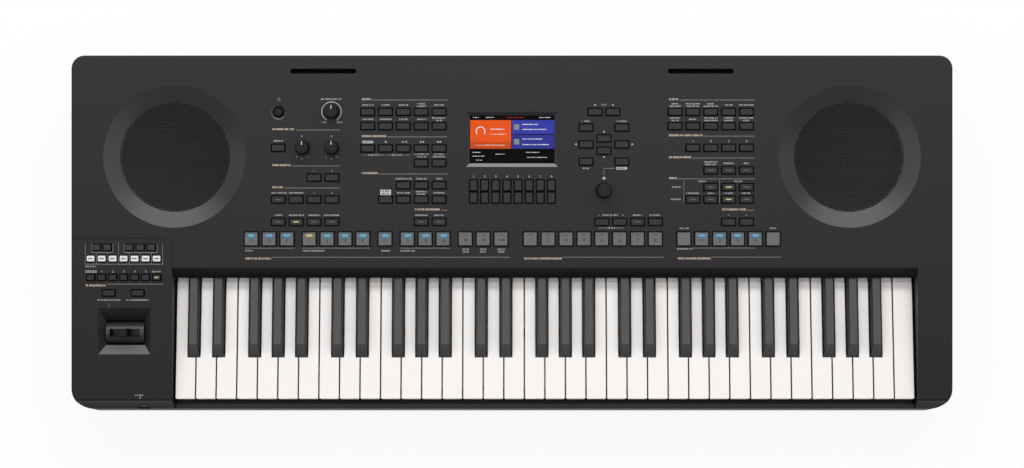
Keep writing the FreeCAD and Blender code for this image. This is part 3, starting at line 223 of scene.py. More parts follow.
class Finish:
    """One material: its node tree and the few ways in which nodes are added to it."""

    def __init__(self, name):
        self.material = bpy.data.materials.new(name)
        self.material.use_nodes = True
        self.tree = self.material.node_tree
        self.shader = self.tree.nodes["Principled BSDF"]
        self.place = self.node("ShaderNodeTexCoord", {}, {}, "Object")

    def feed(self, socket, value):
        """Sets a socket to a value, or links it."""
        if isinstance(value, Sock):
            self.tree.links.new(value.socket, socket)
        else:
            socket.default_value = value

    def node(self, kind, settings, sockets, output=0):
        """Adds a node: its settings first, then its sockets' values or links. Gives one of its outputs."""
        made = self.tree.nodes.new(kind)
        for key, value in settings.items():
            setattr(made, key, value)
        for key, value in sockets.items():
            self.feed(made.inputs[key], value)
        return Sock(self, made.outputs[output])

    def mix(self, factor, first, second):
        """A colour between two colours."""
        sockets = {0: factor, 6: first, 7: second}
        return self.node("ShaderNodeMix", {"data_type": "RGBA"}, sockets, 2)

    def noise(self, size, detail=2.0, stretch=None):
        """Noise with features of about the given size in metres, from nought to one."""
        place = self.place
        if stretch:
            place = self.node("ShaderNodeVectorMath", {"operation": "MULTIPLY"}, {0: place, 1: stretch})
        sockets = {"Vector": place, "Scale": 1 / size, "Detail": detail, "Roughness": 0.55}
        return self.node("ShaderNodeTexNoise", {}, sockets)

    def axes(self, source=None):
        """The three coordinates of a place."""
        split = self.node("ShaderNodeSeparateXYZ", {}, {0: source or self.place})
        return [Sock(self, socket) for socket in split.socket.node.outputs]

    def along(self, place, way):
        """How far a place, or a direction, goes a given way."""
        return self.node("ShaderNodeVectorMath", {"operation": "DOT_PRODUCT"}, {0: place, 1: way}, "Value")

    def facing(self, way):
        """How much the surface faces a given way, from minus one to one."""
        return self.along(self.node("ShaderNodeNewGeometry", {}, {}, "Normal"), way)

    def surface(self, base, gloss, others=None, bump=None):
        """Feeds the shader: colour, roughness, other sockets, and a bump's height, distance and strength."""
        sockets = {"Base Color": base, "Roughness": gloss, **(others or {})}
        if bump:
            settings = dict(zip(("Height", "Distance", "Strength"), bump))
            sockets["Normal"] = self.node("ShaderNodeBump", {}, settings)
        for key, value in sockets.items():
            self.feed(self.shader.inputs[key], value)
        return self.material

    def shared(self, factor, kind, sockets, own):
        """Shares the surface between the shader and a second one; own is the shader's place, 1 or 2."""
        pair = {own: Sock(self, self.shader.outputs[0]), 3 - own: self.node(kind, {}, sockets)}
        mixed = self.node("ShaderNodeMixShader", {}, {0: factor, **pair})
        self.feed(self.tree.nodes["Material Output"].inputs["Surface"], mixed)
        return self.material


# Black used as painted shade on edges and sides
shade_black = (0.003, 0.003, 0.003, 1.0)


def rgba(shade, scale=1.0):
    """A colour of three numbers as a socket's four, made lighter or darker."""
    return (*(min(1.0, part * scale) for part in shade), 1.0)


def moulded(name, shade, roughness, grain, relief=0.00006, specular=0.5):
    """Moulded plastic: a fine grain, and slow changes of tone and gloss."""
    finish = Finish(name)
    fine = finish.noise(grain, 3.0)
    broad = finish.noise(0.11, 3.0)
    streaks = finish.noise(0.02, 2.0, (0.25, 1.0, 1.0))
    tone = broad * 0.6 + streaks * 0.2 + fine * 0.2
    base = finish.mix(tone, rgba(shade, 0.86), rgba(shade, 1.14))
    gloss = roughness + (fine - 0.5) * 0.10 + (broad - 0.5) * 0.08
    return finish.surface(base, gloss, {"Specular IOR Level": specular}, (fine, relief, 0.6))


def panel_plastic(name, look, hollows, speaker):
    """The panel's plastic: grained, with painted shade that darkens it towards the front, a painted highlight
    on the rear-facing slopes round the display and the joystick, smoother dishes round the speakers and the
    power button, and painted shade on the drop to the keys and in the power button's well."""
    finish = Finish(name)
    fine = finish.noise(look.grain, 3.0)
    broad = finish.noise(0.11, 3.0)
    sockets = {0: finish.place, 1: panel_frame.translation}
    place = finish.node("ShaderNodeVectorMath", {"operation": "SUBTRACT"}, sockets)
    x, y, depth = (finish.along(place, way) for way in panel_frame.to_3x3().transposed())

    # Painted light and shade: the panel's colour is darker towards its front and paler towards its rear
    fade = ((y - panel_front) / panel_length).held()
    tone = broad * 0.22 + fine * 0.1 + fade * 0.68
    tone = finish.mix(tone, rgba(look.panel, 0.5), rgba(look.panel, 1.5))

    def within(across, along, radius):
        return across * across + along * along < radius * radius

    sunk = depth < -sunk_depth
    # Painted highlight: the slopes of the hollows round the display and the joystick are paler the more they
    # face the rear
    slope_highlight = sunk * 0.0
    for strength, ((left, front), (right, rear)) in hollows:
        slope_highlight = slope_highlight + sunk * (x > left) * (x < right) * (y > front) * (y < rear) * strength
    across, along, _ = finish.axes()
    rearward = finish.facing((0, 1, 0))
    # Painted shade on the front-facing drop, growing with depth
    drop = (rearward < -0.6) * (depth / -drop_depth).held() * ((along > nose_y) + 1.0) * 0.5
    power_x, power_y = panel_xy(*power_pixel)
    # The sunk well round the power button gets painted shade
    well = sunk * within(x - power_x, y - power_y, power_well)
    dish = within(across.maths("ABSOLUTE") - speaker.x, y - speaker.y, speaker_dish)
    dish = sunk * (dish + within(x - power_x, y - power_y, power_dish)).held()
    # Painted shade: the drop and the power button's well are darkened towards black
    dull = (drop + well).held()
    highlight_by_facing = (rearward * 1.3).held() + 0.06
    base = finish.mix(slope_highlight * highlight_by_facing, tone, rgba(look.slope_highlight))
    base = finish.mix(dull, base, rgba(look.panel, 0.2))
    gloss = 0.46 + (fine - 0.5) * 0.10 + (broad - 0.5) * 0.06 + drop * 0.4 - dish * 0.04
    others = {
        "Metallic": well, "Specular IOR Level": 0.24, "Coat Weight": dish * 0.57, "Coat Roughness": 0.34,
    }
    return finish.surface(base, gloss, others, (fine, 0.00006, 0.6))


def capped(name, shade, roughness, grain):
    """Caps, or a sheet's front, whose rounded edges and sides get painted shade: they are dead black."""
    finish = Finish(name)
    fine = finish.noise(grain, 3.0)
    broad = finish.noise(0.02, 3.0)
    # Painted shade: faces that turn away from the panel's normal are dead black and metallic, so they throw
    # back no light
    edge = finish.facing(panel_up) < 0.93
    tone = finish.mix(broad * 0.6 + fine * 0.4, rgba(shade, 0.9), rgba(shade, 1.1))
    base = finish.mix(edge, tone, shade_black)
    gloss = roughness + (fine - 0.5) * 0.12
    others = {"Metallic": edge, "Specular IOR Level": 0.35}
    return finish.surface(base, gloss, others, (fine, 0.00005, 0.5))


def key_white(name, shade):
    """Glossy white key plastic with a faint warmth and hairline wear, and painted shade on its sides."""
    finish = Finish(name)
    cloudy = finish.noise(0.05, 3.0)
    scuffs = finish.noise(0.0022, 4.0, (1.0, 0.08, 1.0))
    warm = (shade[0] * 0.985, shade[1] * 0.965, shade[2] * 0.935, 1.0)
    # Painted shade: the keys' sides are darker, as the shaded gaps between keys
    side = finish.facing((1, 0, 0)).maths("ABSOLUTE") > 0.8
    base = finish.mix(cloudy, rgba(shade, 1.015), warm)
    base = finish.mix(side, base, rgba(shade, 0.4))
    gloss = 0.24 + scuffs * 0.14
    others = {"Coat Weight": 0.25, "Coat Roughness": 0.12}
    return finish.surface(base, gloss, others, (scuffs, 0.00002, 0.25))


def key_black(name, shade):
    """Satin black key plastic with a fine matt grain, worn smooth in places, a painted highlight on the front
    slope and painted shade on the sides.
    """
    finish = Finish(name)
    fine = finish.noise(0.0004, 3.0)
    worn = finish.noise(0.018, 3.0, (1.0, 0.3, 1.0))
    # Painted shade on the sides, which turn dead black
    side = ((finish.facing((1, 0, 0)).maths("ABSOLUTE") - 0.3) * 4.0).held()
    # Painted highlight on the front slope, which is paler
    front = ((finish.facing((0, -1, 0)) - 0.3) * 4.0).held()
    base = finish.mix(worn, rgba(shade, 0.85), rgba(shade, 1.25))
    base = finish.mix(front, base, rgba(shade, 2.0))
    base = finish.mix(side, base, shade_black)
    gloss = 0.36 + worn * 0.10 + fine * 0.08
    others = {"Metallic": side, "Coat Weight": (1 - side) * 0.5, "Coat Roughness": 0.3}
    return finish.surface(base, gloss, others, (fine, 0.00005, 0.5))


def printed(name, shade, roughness=0.5, specular=0.5):
    """Printed ink: slightly uneven cover and gloss."""
    finish = Finish(name)
    cover = finish.noise(0.0006, 2.0)
    base = finish.mix(cover, rgba(shade, 0.86), rgba(shade, 1.1))
    return finish.surface(base, roughness + cover * 0.12, {"Specular IOR Level": specular})


def jet(name):
    """Dead black ink that throws hardly any light back; round the caps it is painted shade."""
    return printed(name, (0.002, 0.002, 0.002), 0.7, 0.05)


def metal(name, shade, roughness, brushed=(1.0, 1.0, 1.0)):
    """Bare or plated metal with fine drawn lines."""
    finish = Finish(name)
    lines = finish.noise(0.0008, 3.0, brushed)
    dull = finish.noise(0.03, 3.0)
    base = finish.mix(dull, rgba(shade, 0.85), rgba(shade, 1.12))
    gloss = roughness + (lines - 0.5) * 0.18
    return finish.surface(base, gloss, {"Metallic": 1.0}, (lines, 0.00003, 0.3))


def rubber(name, shade):
    """Soft rubber: matt, slightly dusty."""
    finish = Finish(name)
    dust = finish.noise(0.004, 4.0)
    base = finish.mix(dust, rgba(shade, 0.8), rgba(shade, 1.5))
    return finish.surface(base, 0.78 + dust * 0.15, {}, (dust, 0.00008, 0.4))


def felted(name, shade, specular=0.1):
    """Woven felt or pressed paper fibres."""
    finish = Finish(name)
    fibres = finish.noise(0.0008, 5.0, (0.4, 1.0, 1.0))
    base = finish.mix(fibres, rgba(shade, 0.6), rgba(shade, 1.35))
    return finish.surface(base, 0.95, {"Specular IOR Level": specular}, (fibres, 0.0003, 0.8))


def circuit(name, shade):
    """Circuit board: solder mask with copper runs that show through."""
    finish = Finish(name)
    x, y, _ = finish.axes()
    runs = (x / 0.0031).maths("FRACT") < 0.42
    ways = (y / 0.0043).maths("FRACT") < 0.36
    zones = finish.noise(0.02, 1.0) > 0.52
    copper = runs * zones + ways * (1 - zones)
    base = finish.mix(copper, rgba(shade, 0.75), rgba(shade, 1.7))
    return finish.surface(base, 0.34 + copper * 0.1, {}, (copper, 0.00004, 0.4))


def lit(name, shade, strength):
    """A lit lamp window or screen block: bright, a little uneven."""
    finish = Finish(name)
    cloud = finish.noise(0.004, 2.0)
    glow = finish.mix(cloud, rgba(shade, 0.92), rgba(shade, 1.06))
    others = {"Emission Color": glow, "Emission Strength": strength, "Specular IOR Level": 0.1}
    return finish.surface(rgba(shade, 0.02), 0.3 + cloud * 0.1, others)


def halo(name, shade, strength):
    """Painted glow: light that a lamp spills on the cap round it, fading out from the middle of its patch."""
    finish = Finish(name)
    patch = finish.node("ShaderNodeTexCoord", {}, {}, "UV")
    u, v, _ = finish.axes(patch)
    across, along = (u - 0.5) * 2.0, (v - 0.72) * 1.9
    far = (across * across + along * along).maths("SQRT")
    fade = (1 - far).maths("MAXIMUM", 0.0)
    weight = (fade * fade * 0.9).maths("MINIMUM", 0.85)
    others = {"Emission Color": rgba(shade), "Emission Strength": strength, "Alpha": weight}
    return finish.surface(rgba(shade), 0.5, others)


def clear_glass(name):
    """Clear window: see-through, with a sheen that grows towards grazing views and a few faint smears."""
    finish = Finish(name)
    smears = finish.noise(0.012, 3.0)
    finish.surface((0.02, 0.02, 0.022, 1.0), 0.06 + smears * 0.06)
    sheen = finish.node("ShaderNodeLayerWeight", {}, {"Blend": 0.5}, 1).maths("POWER", 5.0) * 0.6 + 0.008
    return finish.shared(sheen, "ShaderNodeBsdfTransparent", {}, 2)


def two_tone(name, dark, pale, limit):
    """Button caps of two colours in one bank: pale in front of a line across the case, dark behind it."""
    finish = Finish(name)
    _, y, _ = finish.axes()
    fine = finish.noise(0.0005, 3.0)
    front = y < limit
    base = finish.mix(front, rgba(dark), rgba(pale))
    tone = finish.mix(fine * 0.25, base, (0.0, 0.0, 0.0, 1.0))
    return finish.surface(tone, 0.42 + fine * 0.12, {}, (fine, 0.00005, 0.4))


def dress(material, *names):
    """Gives CAD nodes a material in place of their own."""
    for name in names:
        nodes[name].data.materials.clear()
        nodes[name].data.materials.append(material)


# Meshes

def placed(name, data):
    """Adds an object to the scene."""
    made = bpy.data.objects.new(name, data)
    bpy.context.scene.collection.objects.link(made)
    return made


def piece(name, mesh, materials, body, smooth=False):
    """Turns a bmesh into a piece that rides on a body."""
    bmesh.ops.recalc_face_normals(mesh, faces=mesh.faces)
    data = bpy.data.meshes.new(name)
    mesh.to_mesh(data)
    mesh.free()
    for material in materials:
        data.materials.append(material)
    if smooth:
        data.shade_smooth()
        data.set_sharp_from_angle(angle=math.radians(35))
    made = placed(name, data)
    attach(made, body)
    return made


def band(mesh, first, second):
    """Faces between two rings of as many corners."""
    turned = zip(first, first[1:] + first[:1], second[1:] + second[:1], second)
    return [mesh.faces.new(corners) for corners in turned]


def soft_block(size, rounding):
    """A block about its middle, with rounded edges."""
    mesh = bmesh.new()
    bmesh.ops.create_cube(mesh, size=1.0)
    mesh.transform(Matrix.Diagonal(size.to_4d()))
    bmesh.ops.bevel(mesh, geom=mesh.edges, offset=rounding, segments=2, profile=0.5, affect="EDGES")
    return mesh


def cap_outlines(name):
    """Lowest and highest x and y, in the panel's frame, of a node's separate caps above the panel."""
    mesh = bmesh.new()
    mesh.from_mesh(nodes[name].data)
    bmesh.ops.remove_doubles(mesh, verts=mesh.verts, dist=1e-6)
    seen, outlines = set(), []
    for start in mesh.verts:
        if start in seen:
            continue
        seen.add(start)
        queue, places = [start], []
        while queue:
            vert = queue.pop()
            places.append(to_panel @ vert.co)
            near = {edge.other_vert(vert) for edge in vert.link_edges} - seen
            seen |= near
            queue += near
        shown = [place for place in places if place.z > 0]
        outlines.append([[pick(place[axis] for place in shown) for axis in (0, 1)] for pick in (min, max)])
    mesh.free()
    return outlines


class Marks:
    """Flat marks gathered for one piece, drawn on the panel by the photograph's pixels."""

    def __init__(self, height, level=0.0):
        self.mesh = bmesh.new()
        self.low, self.high = level, level + height
        self.patches = self.mesh.loops.layers.uv.new("patch")
        self.random = random.Random(7)

    def lift(self, amount):
        """Moves the level of what is drawn next."""
        self.low, self.high = self.low + amount, self.high + amount

    def slab(self, outline, tint=0):
        """A thin prism over an outline of pixels."""
        rings = []
        for height in (self.low, self.high):
            rings.append([self.mesh.verts.new(panel_point(x, y, height)) for x, y in outline])
        faces = [self.mesh.faces.new(rings[1]), self.mesh.faces.new(rings[0][::-1])]
        faces += band(self.mesh, *rings)
        for face in faces:
            face.material_index = tint
        return faces

    def bar(self, x, y, width, height, tint=0):
        """A bar with its middle at a pixel."""
        w, h = width / 2, height / 2
        return self.slab([(x - w, y + h), (x + w, y + h), (x + w, y - h), (x - w, y - h)], tint)

    def patch(self, x, y, width, height, tint=0):
        """A bar whose top face is mapped from corner to corner, for a painted glow that fades out."""
        top = self.bar(x, y, width, height, tint)[0]
        for loop, place in zip(top.loops, ((0, 0), (1, 0), (1, 1), (0, 1))):
            loop[self.patches].uv = place

    def line(self, x0, x1, y, height, tint=0):
        """A line across, from one pixel to another."""
        self.bar((x0 + x1) / 2, y, x1 - x0, height, tint)

    def post(self, x, y0, y1, width=0.24):
        """A line along the panel's depth."""
        self.bar(x, (y0 + y1) / 2, width, y1 - y0)

    def words(self, x, y, width, tint=0, height=1.5):
        """A row of plain dashes in the place of a label."""
        at, stop = x - width / 2, x + width / 2
        while at < stop - 0.3:
            dash = min(self.random.choice((0.6, 0.75, 0.9)), stop - at)
            self.bar(at + dash / 2, y, dash, height, tint)
            at += dash + self.random.choice((0.4, 0.4, 0.45, 0.45, 1.1))

    def label(self, x, y, widths, tint=0):
        """One row of dashes, or two rows close together."""
        rows = (0,) if len(widths) == 1 else (-1.25, 1.25)
        for shift, width in zip(rows, widths):
            self.words(x, y + shift, width, tint)

    def arc(self, x, y, radius, width, start, end, tint=0):
        """Part of a ring; angles in degrees from the right, anticlockwise."""
        steps = max(2, int(abs(end - start) / 6))
        turns = [math.radians(start + (end - start) * step / steps) for step in range(steps + 1)]
        reach = (radius - width / 2, radius + width / 2)
        inner, outer = [[(x + r * math.cos(t), y - r * math.sin(t)) for t in turns] for r in reach]
        for here in range(steps):
            self.slab([outer[here], outer[here + 1], inner[here + 1], inner[here]], tint)

    def arrow(self, x, y, size, turn, tint=0):
        """A small triangle that points along a turn in degrees from the right."""
        turns = [math.radians(turn + step) for step in (230, 130, 0)]
        self.slab([(x + size * math.cos(t), y - size * math.sin(t)) for t in turns], tint)

    def sign(self, x, y, plus, size=1.5, width=0.5):
        """A minus or a plus."""
        self.bar(x, y, size, width)
        if plus:
            for shift in (-size / 2, (size + width) / 4):
                self.bar(x, y + shift, width, (size - width) / 2)

    def number(self, text, x, y, size, tint=0):
        """A plain number."""
        curve = bpy.data.curves.new("number", "FONT")
        font_scale, stroke = 1.4, 0.09 * mm
        curve.body, curve.size = text, size * pixel * font_scale
        curve.align_x, curve.align_y = "CENTER", "CENTER"
        curve.resolution_u = 3
        curve.offset = stroke
        curve.extrude = (self.high - self.low) / 2
        writer = bpy.data.objects.new("number", curve)
        flat = bpy.data.meshes.new_from_object(writer)
        at = Matrix.Translation((*panel_xy(x, y), (self.low + self.high) / 2))
        flat.transform(panel_frame @ at)
        before = len(self.mesh.faces)
        self.mesh.from_mesh(flat)
        self.mesh.faces.ensure_lookup_table()
        for face in self.mesh.faces[before:]:
            face.material_index = tint
        bpy.data.objects.remove(writer)
        bpy.data.curves.remove(curve)
        bpy.data.meshes.remove(flat)


# Tables of printed marks, in pixels of the photograph

# Gold headings: where the heading's place starts and ends, where the line ends, row
gold_headings = (
    (272.4, 295.0, 340.0, 130.4), (272.4, 291.0, 340.0, 166.3), (272.4, 283.3, 340.0, 188.4),
    (362.1, 371.4, 447.6, 100.4), (362.1, 386.4, 447.4, 137.3), (361.8, 377.6, 447.6, 174.3),
    (415.0, 440.4, 447.4, 210.6), (669.0, 678.3, 754.7, 100.4), (669.0, 702.6, 754.7, 136.5),
    (669.0, 691.4, 754.7, 158.4), (669.0, 677.1, 754.7, 179.3), (722.3, 746.1, 754.7, 210.6),
    (245.5, 271.2, 509.6, 257.6), (524.2, 562.0, 663.8, 257.6), (677.9, 710.7, 781.1, 257.5),
    (85.9, 106.1, 163.5, 284.5),
)
# Rows of labels: row, then for each label its x and the widths of one or two rows of dashes
label_rows = (
    (99.5, (331.4, 21)), (122.7, (323.9, 4.5), (339.6, 5)), (141.3, (278.9, 10)),
    (193.3, (279.2, 15.5), (296.3, 14)), (215.6, (278.7, 7.5), (296.6, 15), (314.1, 11.5), (332.0, 15.5)),
    (105.4, (367.9, 11.4), (385.7, 8), (403.6, 9), (421.7, 8, 9.5), (439.3, 10)),
    (119.6, (368.1, 11), (385.9, 12), (403.6, 8.5), (421.6, 9), (439.0, 14, 6)),
    (155.8, (421.7, 14, 9), (439.0, 9, 12)), (179.1, (403.6, 16), (421.7, 10.7), (439.3, 6)),
    (193.3, (403.6, 12.5), (421.4, 11, 9), (439.0, 11)), (215.6, (421.4, 12), (439.0, 9.5)),
    (155.4, (373.8, 11), (397.8, 12)), (105.2, (603.9, 4.5)), (121.6, (587.4, 6), (623.0, 7)),
    (168.7, (585.9, 6)), (215.5, (610.5, 16), (637.6, 9.5), (655.0, 10.5)), (228.4, (611.0, 9)),
    (105.4, (675.2, 7, 11), (692.9, 14, 12), (710.7, 7, 14), (728.9, 8), (746.6, 15)),
    (119.6, (675.1, 11, 7), (693.1, 8), (711.0, 13, 14), (728.7, 9, 9), (746.3, 14, 7)),
    (163.7, (711.0, 13, 12), (728.7, 10), (746.4, 5)), (181.7, (702.4, 8), (738.1, 8)), (187.4, (676.4, 9)),
    (199.7, (676.1, 10)), (193.6, (693.1, 13.5), (711.0, 6.5), (728.7, 8.5), (746.4, 9)),
    (228.7, (684.3, 9), (772.9, 6)), (249.2, (685.0, 15.8)), (251.0, (249.5, 8)),
    (251.2, (314.0, 22), (385.5, 8.5), (407.8, 14.6)),
    (251.0, (465.8, 6.5, 6), (483.5, 6.5, 7), (501.4, 7.5, 6)), (266.8, (90.9, 11)), (272.0, (156.9, 9.5)),
    (300.4, (109.0, 23), (138.4, 24)), (395.7, (139.8, 9)),
)
# Pale lines across: row, then each line's start and end
rules = (
    (248.5, (245.0, 294.4), (301.9, 370.0), (400.5, 450.2)), (248.4, (693.6, 755.7)),
    (155.4, (362.8, 367.6), (380.0, 384.7), (386.6, 391.0), (404.6, 409.3)),
    (228.4, (598.0, 606.0), (616.0, 623.8)), (168.7, (604.1, 614.5)), (264.6, (85.2, 162.8)),
    (252.9, (91.7, 112.8), (124.1, 157.2)),
)
# Pale lines along the panel's depth: rear row, front row, then the places of the lines
posts = (
    (180.8, 203.2, 683.9, 719.5), (168.5, 176.0, 603.9), (243.4, 264.5, 85.3, 118.5, 162.6),
    (253.1, 264.5, 96.3, 107.3, 129.4, 140.4, 151.6), (303.6, 308.2, 109.0),
    (244.0, 252.8, 91.7, 112.8, 124.1, 157.2),
)
# White blocks: x, row, width, depth
blocks = (
    (367.8, 142.4, 10.6, 2.4), (385.6, 192.8, 10.8, 5.4), (621.6, 168.7, 10.6, 2.5), (90.9, 272.0, 11.4, 2.2),
)
# Minus and plus signs: row, place of the minus, place of the plus
signs = (
    (171.2, 314.1, 332.0), (193.3, 314.1, 332.0), (121.6, 582.0, 617.3), (215.5, 599.0, 622.8),
    (215.6, 728.6, 746.4),
)
# Arrows: x, row, turn from the right
arrows = (
    (595.1, 105.3, 180), (613.0, 105.3, 0), (604.0, 132.0, 90), (575.8, 144.6, 180), (632.4, 144.6, 0),
    (604.0, 157.5, 270), (140.0, 398.3, 270), (403.0, 142.3, 0), (420.6, 142.3, 180), (423.2, 142.3, 180),
    (437.8, 142.3, 0), (440.4, 142.3, 0),
)
# Distances between neighbouring pads and between neighbouring scale buttons
pad_pitch, scale_pitch = 17.85, 10.98
# Plain numbers on the panel: first number's x, pitch, count, row, size
number_rows = (
    (473.6, 11.13, 8, 177.0, 2.3), (693.0, pad_pitch, 4, 141.7, 2.3), (101.9, scale_pitch, 5, 272.0, 2.2),
)

# Words on the screen: x, row, width, height
screen_words = (
    (497.5, 129.4, 14, 1.2), (498.5, 134.4, 16, 0.8), (490.5, 145.4, 30, 0.9), (530.5, 124.6, 16, 1.0),
    (534.5, 129.6, 24, 1.0), (532.5, 139.2, 20, 1.0), (536.0, 144.8, 27, 1.0), (476.0, 117.6, 6, 0.7),
    (490.0, 117.6, 8, 0.7), (515.0, 117.6, 17, 0.7), (545.0, 117.6, 11, 0.7), (476.5, 152.6, 8, 0.7),
    (478.5, 156.4, 12, 0.7), (500.0, 154.4, 9, 0.7), (533.0, 152.6, 14, 0.7), (537.0, 157.6, 20, 0.7),
    (479.0, 160.4, 6, 0.7),
)
red_words_x = 515.0
# Lamp windows in button caps: row, then each window's x and whether it is lit
lamp_rows = {
    "tempo_buttons": ((200.2, (278.4, 0)),),
    "accompaniment_buttons": ((222.3, (278.4, 0), (296.2, 1), (314.1, 0), (332.0, 0)),),
    "function_buttons": ((222.3, (421.4, 0), (439.2, 0)),),
    "registration_bank_buttons": ((222.3, (637.5, 0)),),
    "effect_buttons": ((170.8, (710.7, 0), (728.6, 0), (746.4, 0)),),
    "part_buttons": (
        (187.6, (710.7, 0), (728.6, 1), (746.4, 0)), (199.8, (692.9, 0), (710.7, 0), (728.6, 1), (746.4, 0)),
    ),
    "scale_memory_buttons": ((277.8, (156.7, 1)),),
}

# Rows of pads: the first pad's place and the count of pads
style_pad_groups = ((251.5, 3), (309.5, 4), (385.5, 1), (408.0, 3), (465.9, 3))
registration_first, multi_first = 530.3, 683.8
pad_row, pad_lamp_row = 239.3, 235.9


def run(first, count, pitch=pad_pitch):
    """Places of a row at an even pitch."""
    return [first + step * pitch for step in range(count)]


# Operators

class KEYBOARD_OT_case(bpy.types.Operator):
    """Finishes the case, its feet and its screws"""
    bl_idname = "keyboard.case"
    bl_label = "Case finish"

    def execute(self, context):
        look = context.scene.keyboard_case
        hollows = []
        # Strength of the painted highlight on the slopes of each hollow
        for strength, corners in ((1.05, window_pixels), (0.55, joystick_pixels)):
            hollows.append((strength, [panel_xy(*corner) for corner in corners]))
        low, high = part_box("speaker_grilles")
        speaker = to_panel @ ((low + high) / 2)
        speaker.x = (high.x - low.x - (high.y - low.y) / math.cos(panel_tilt)) / 2
        dress(panel_plastic("panel_plastic", look, hollows, speaker), "upper_case", "left_end_panel")
        base = moulded("base_plastic", look.base, 0.55, look.grain * 2.2, 0.00012, specular=0.35)
        dress(base, "lower_case")
        self.ledge(moulded("ledge_plastic", Vector(look.base) * 0.55, 0.6, look.grain, specular=0.18))
        dress(rubber("foot_rubber", (0.02, 0.02, 0.02)), "rubber_feet")
        dress(metal("screw_metal", (0.32, 0.32, 0.33), 0.38), "case_screws")
        return {"FINISHED"}

    def ledge(self, plastic):
        """A strip behind the front wall that closes the gap before the white keys from below."""
        keys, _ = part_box("keys_c")
        bed_low, bed_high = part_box("key_chassis")
        low = Vector((bed_low.x, keys.y - key_front_gap, keys.z - ledge_height))
        high = Vector((bed_high.x, keys.y - ledge_clearance, keys.z - ledge_clearance))
        mesh = soft_block(high - low, 0.3 * mm)
        mesh.transform(Matrix.Translation((low + high) / 2))
        piece("front_ledge", mesh, [plastic], "case")


class KEYBOARD_OT_keys(bpy.types.Operator):
    """Finishes the white and black keys"""
    bl_idname = "keyboard.keys"
    bl_label = "Keys"

    def execute(self, context):
        look = context.scene.keyboard_keys
        keys = [name for name in nodes if name.startswith("keys_")]
        black = [name for name in keys if name.endswith("_sharp")]
        dress(key_white("key_white", look.white), *sorted(set(keys) - set(black)))
        dress(key_black("key_black", look.black), *black)
        return {"FINISHED"}


class KEYBOARD_OT_inside(bpy.types.Operator):
    """Finishes what is inside the case, and the sockets"""
    bl_idname = "keyboard.inside"
    bl_label = "Inside and sockets"

    def execute(self, context):
        dress(metal("bed_zinc", (0.42, 0.43, 0.44), 0.42, (0.1, 1.0, 1.0)), "key_chassis")
        dress(metal("rod_steel", (0.5, 0.5, 0.51), 0.28, (0.05, 1.0, 1.0)), "key_pivot_rod", "knob_pots")
        dress(felted("stop_felt", (0.33, 0.035, 0.03)), "key_stop_felts")
        dress(felted("cone_paper", (0.0015, 0.0015, 0.0015), 0.04), "speaker_cones")
        board = circuit("circuit_board", (0.02, 0.12, 0.045))
        dress(board, "key_contact_board", "panel_boards", "main_board")
        dress(rubber("dome_rubber", (0.25, 0.25, 0.26)), "key_contact_domes")
        dress(moulded("switch_plastic", (0.03, 0.03, 0.03), 0.4, 0.0006), "tact_switches", "joystick_bracket")
        dress(moulded("socket_plastic", (0.012, 0.012, 0.012), 0.4, 0.0006), "rear_sockets", "phones_jack")
        dress(metal("basket_metal", (0.012, 0.012, 0.012), 0.6), "speaker_baskets")
        return {"FINISHED"}


class KEYBOARD_OT_buttons(bpy.types.Operator):
    """Finishes the button caps, the pads and the joystick, with painted shade round the caps"""
    bl_idname = "keyboard.buttons"
    bl_label = "Buttons and pads"

    def execute(self, context):
        look = context.scene.keyboard_controls
        caps = [name for name in nodes if name.endswith("_buttons")]
        caps.remove("scale_note_buttons")
        dress(capped("button_plastic", look.button, 0.46, 0.0005), *caps)
        limit = panel_point(*scale_row_pixel).y
        dress(two_tone("scale_button_plastic", look.button, look.white_button, limit), "scale_note_buttons")
        pads = [name for name in nodes if name.endswith("_pads")]
        dress(capped("pad_plastic", look.pad, 0.42, 0.0006), *pads)
        # Black frames round the caps' openings: painted shade
        mesh = bmesh.new()
        for name in caps + pads + ["scale_note_buttons"]:
            self.frames(mesh, name, look.shade_frame_width)
        piece("cap_shade_frames", mesh, [jet("shade_frame_black")], "case")
        dress(moulded("barrel_plastic", look.stick, 0.42, 0.0005), "joystick_barrel")
        stick = moulded("stick_plastic", Vector(look.stick) * 0.35, 0.5, 0.0005, specular=0.2)
        dress(stick, "joystick_stick")
        return {"FINISHED"}

    def frames(self, mesh, name, width):
        """Flat black frames on the panel round the openings of a bank's caps: painted shade in the gaps."""
        inner, outer = cap_gap - 0.05 * mm, cap_gap + width
        for (left, front), (right, rear) in cap_outlines(name):
            rings = []
            for reach, height in ((outer, 0), (outer, film), (inner, film), (inner, 0)):
                x0, x1, y0, y1 = left - reach, right + reach, front - reach, rear + reach
                corners = (x0, y0), (x1, y0), (x1, y1), (x0, y1)
                rings.append([mesh.verts.new(panel_frame @ Vector((*corner, height))) for corner in corners])
            for first, second in zip(rings, rings[1:] + rings[:1]):
                band(mesh, first, second)


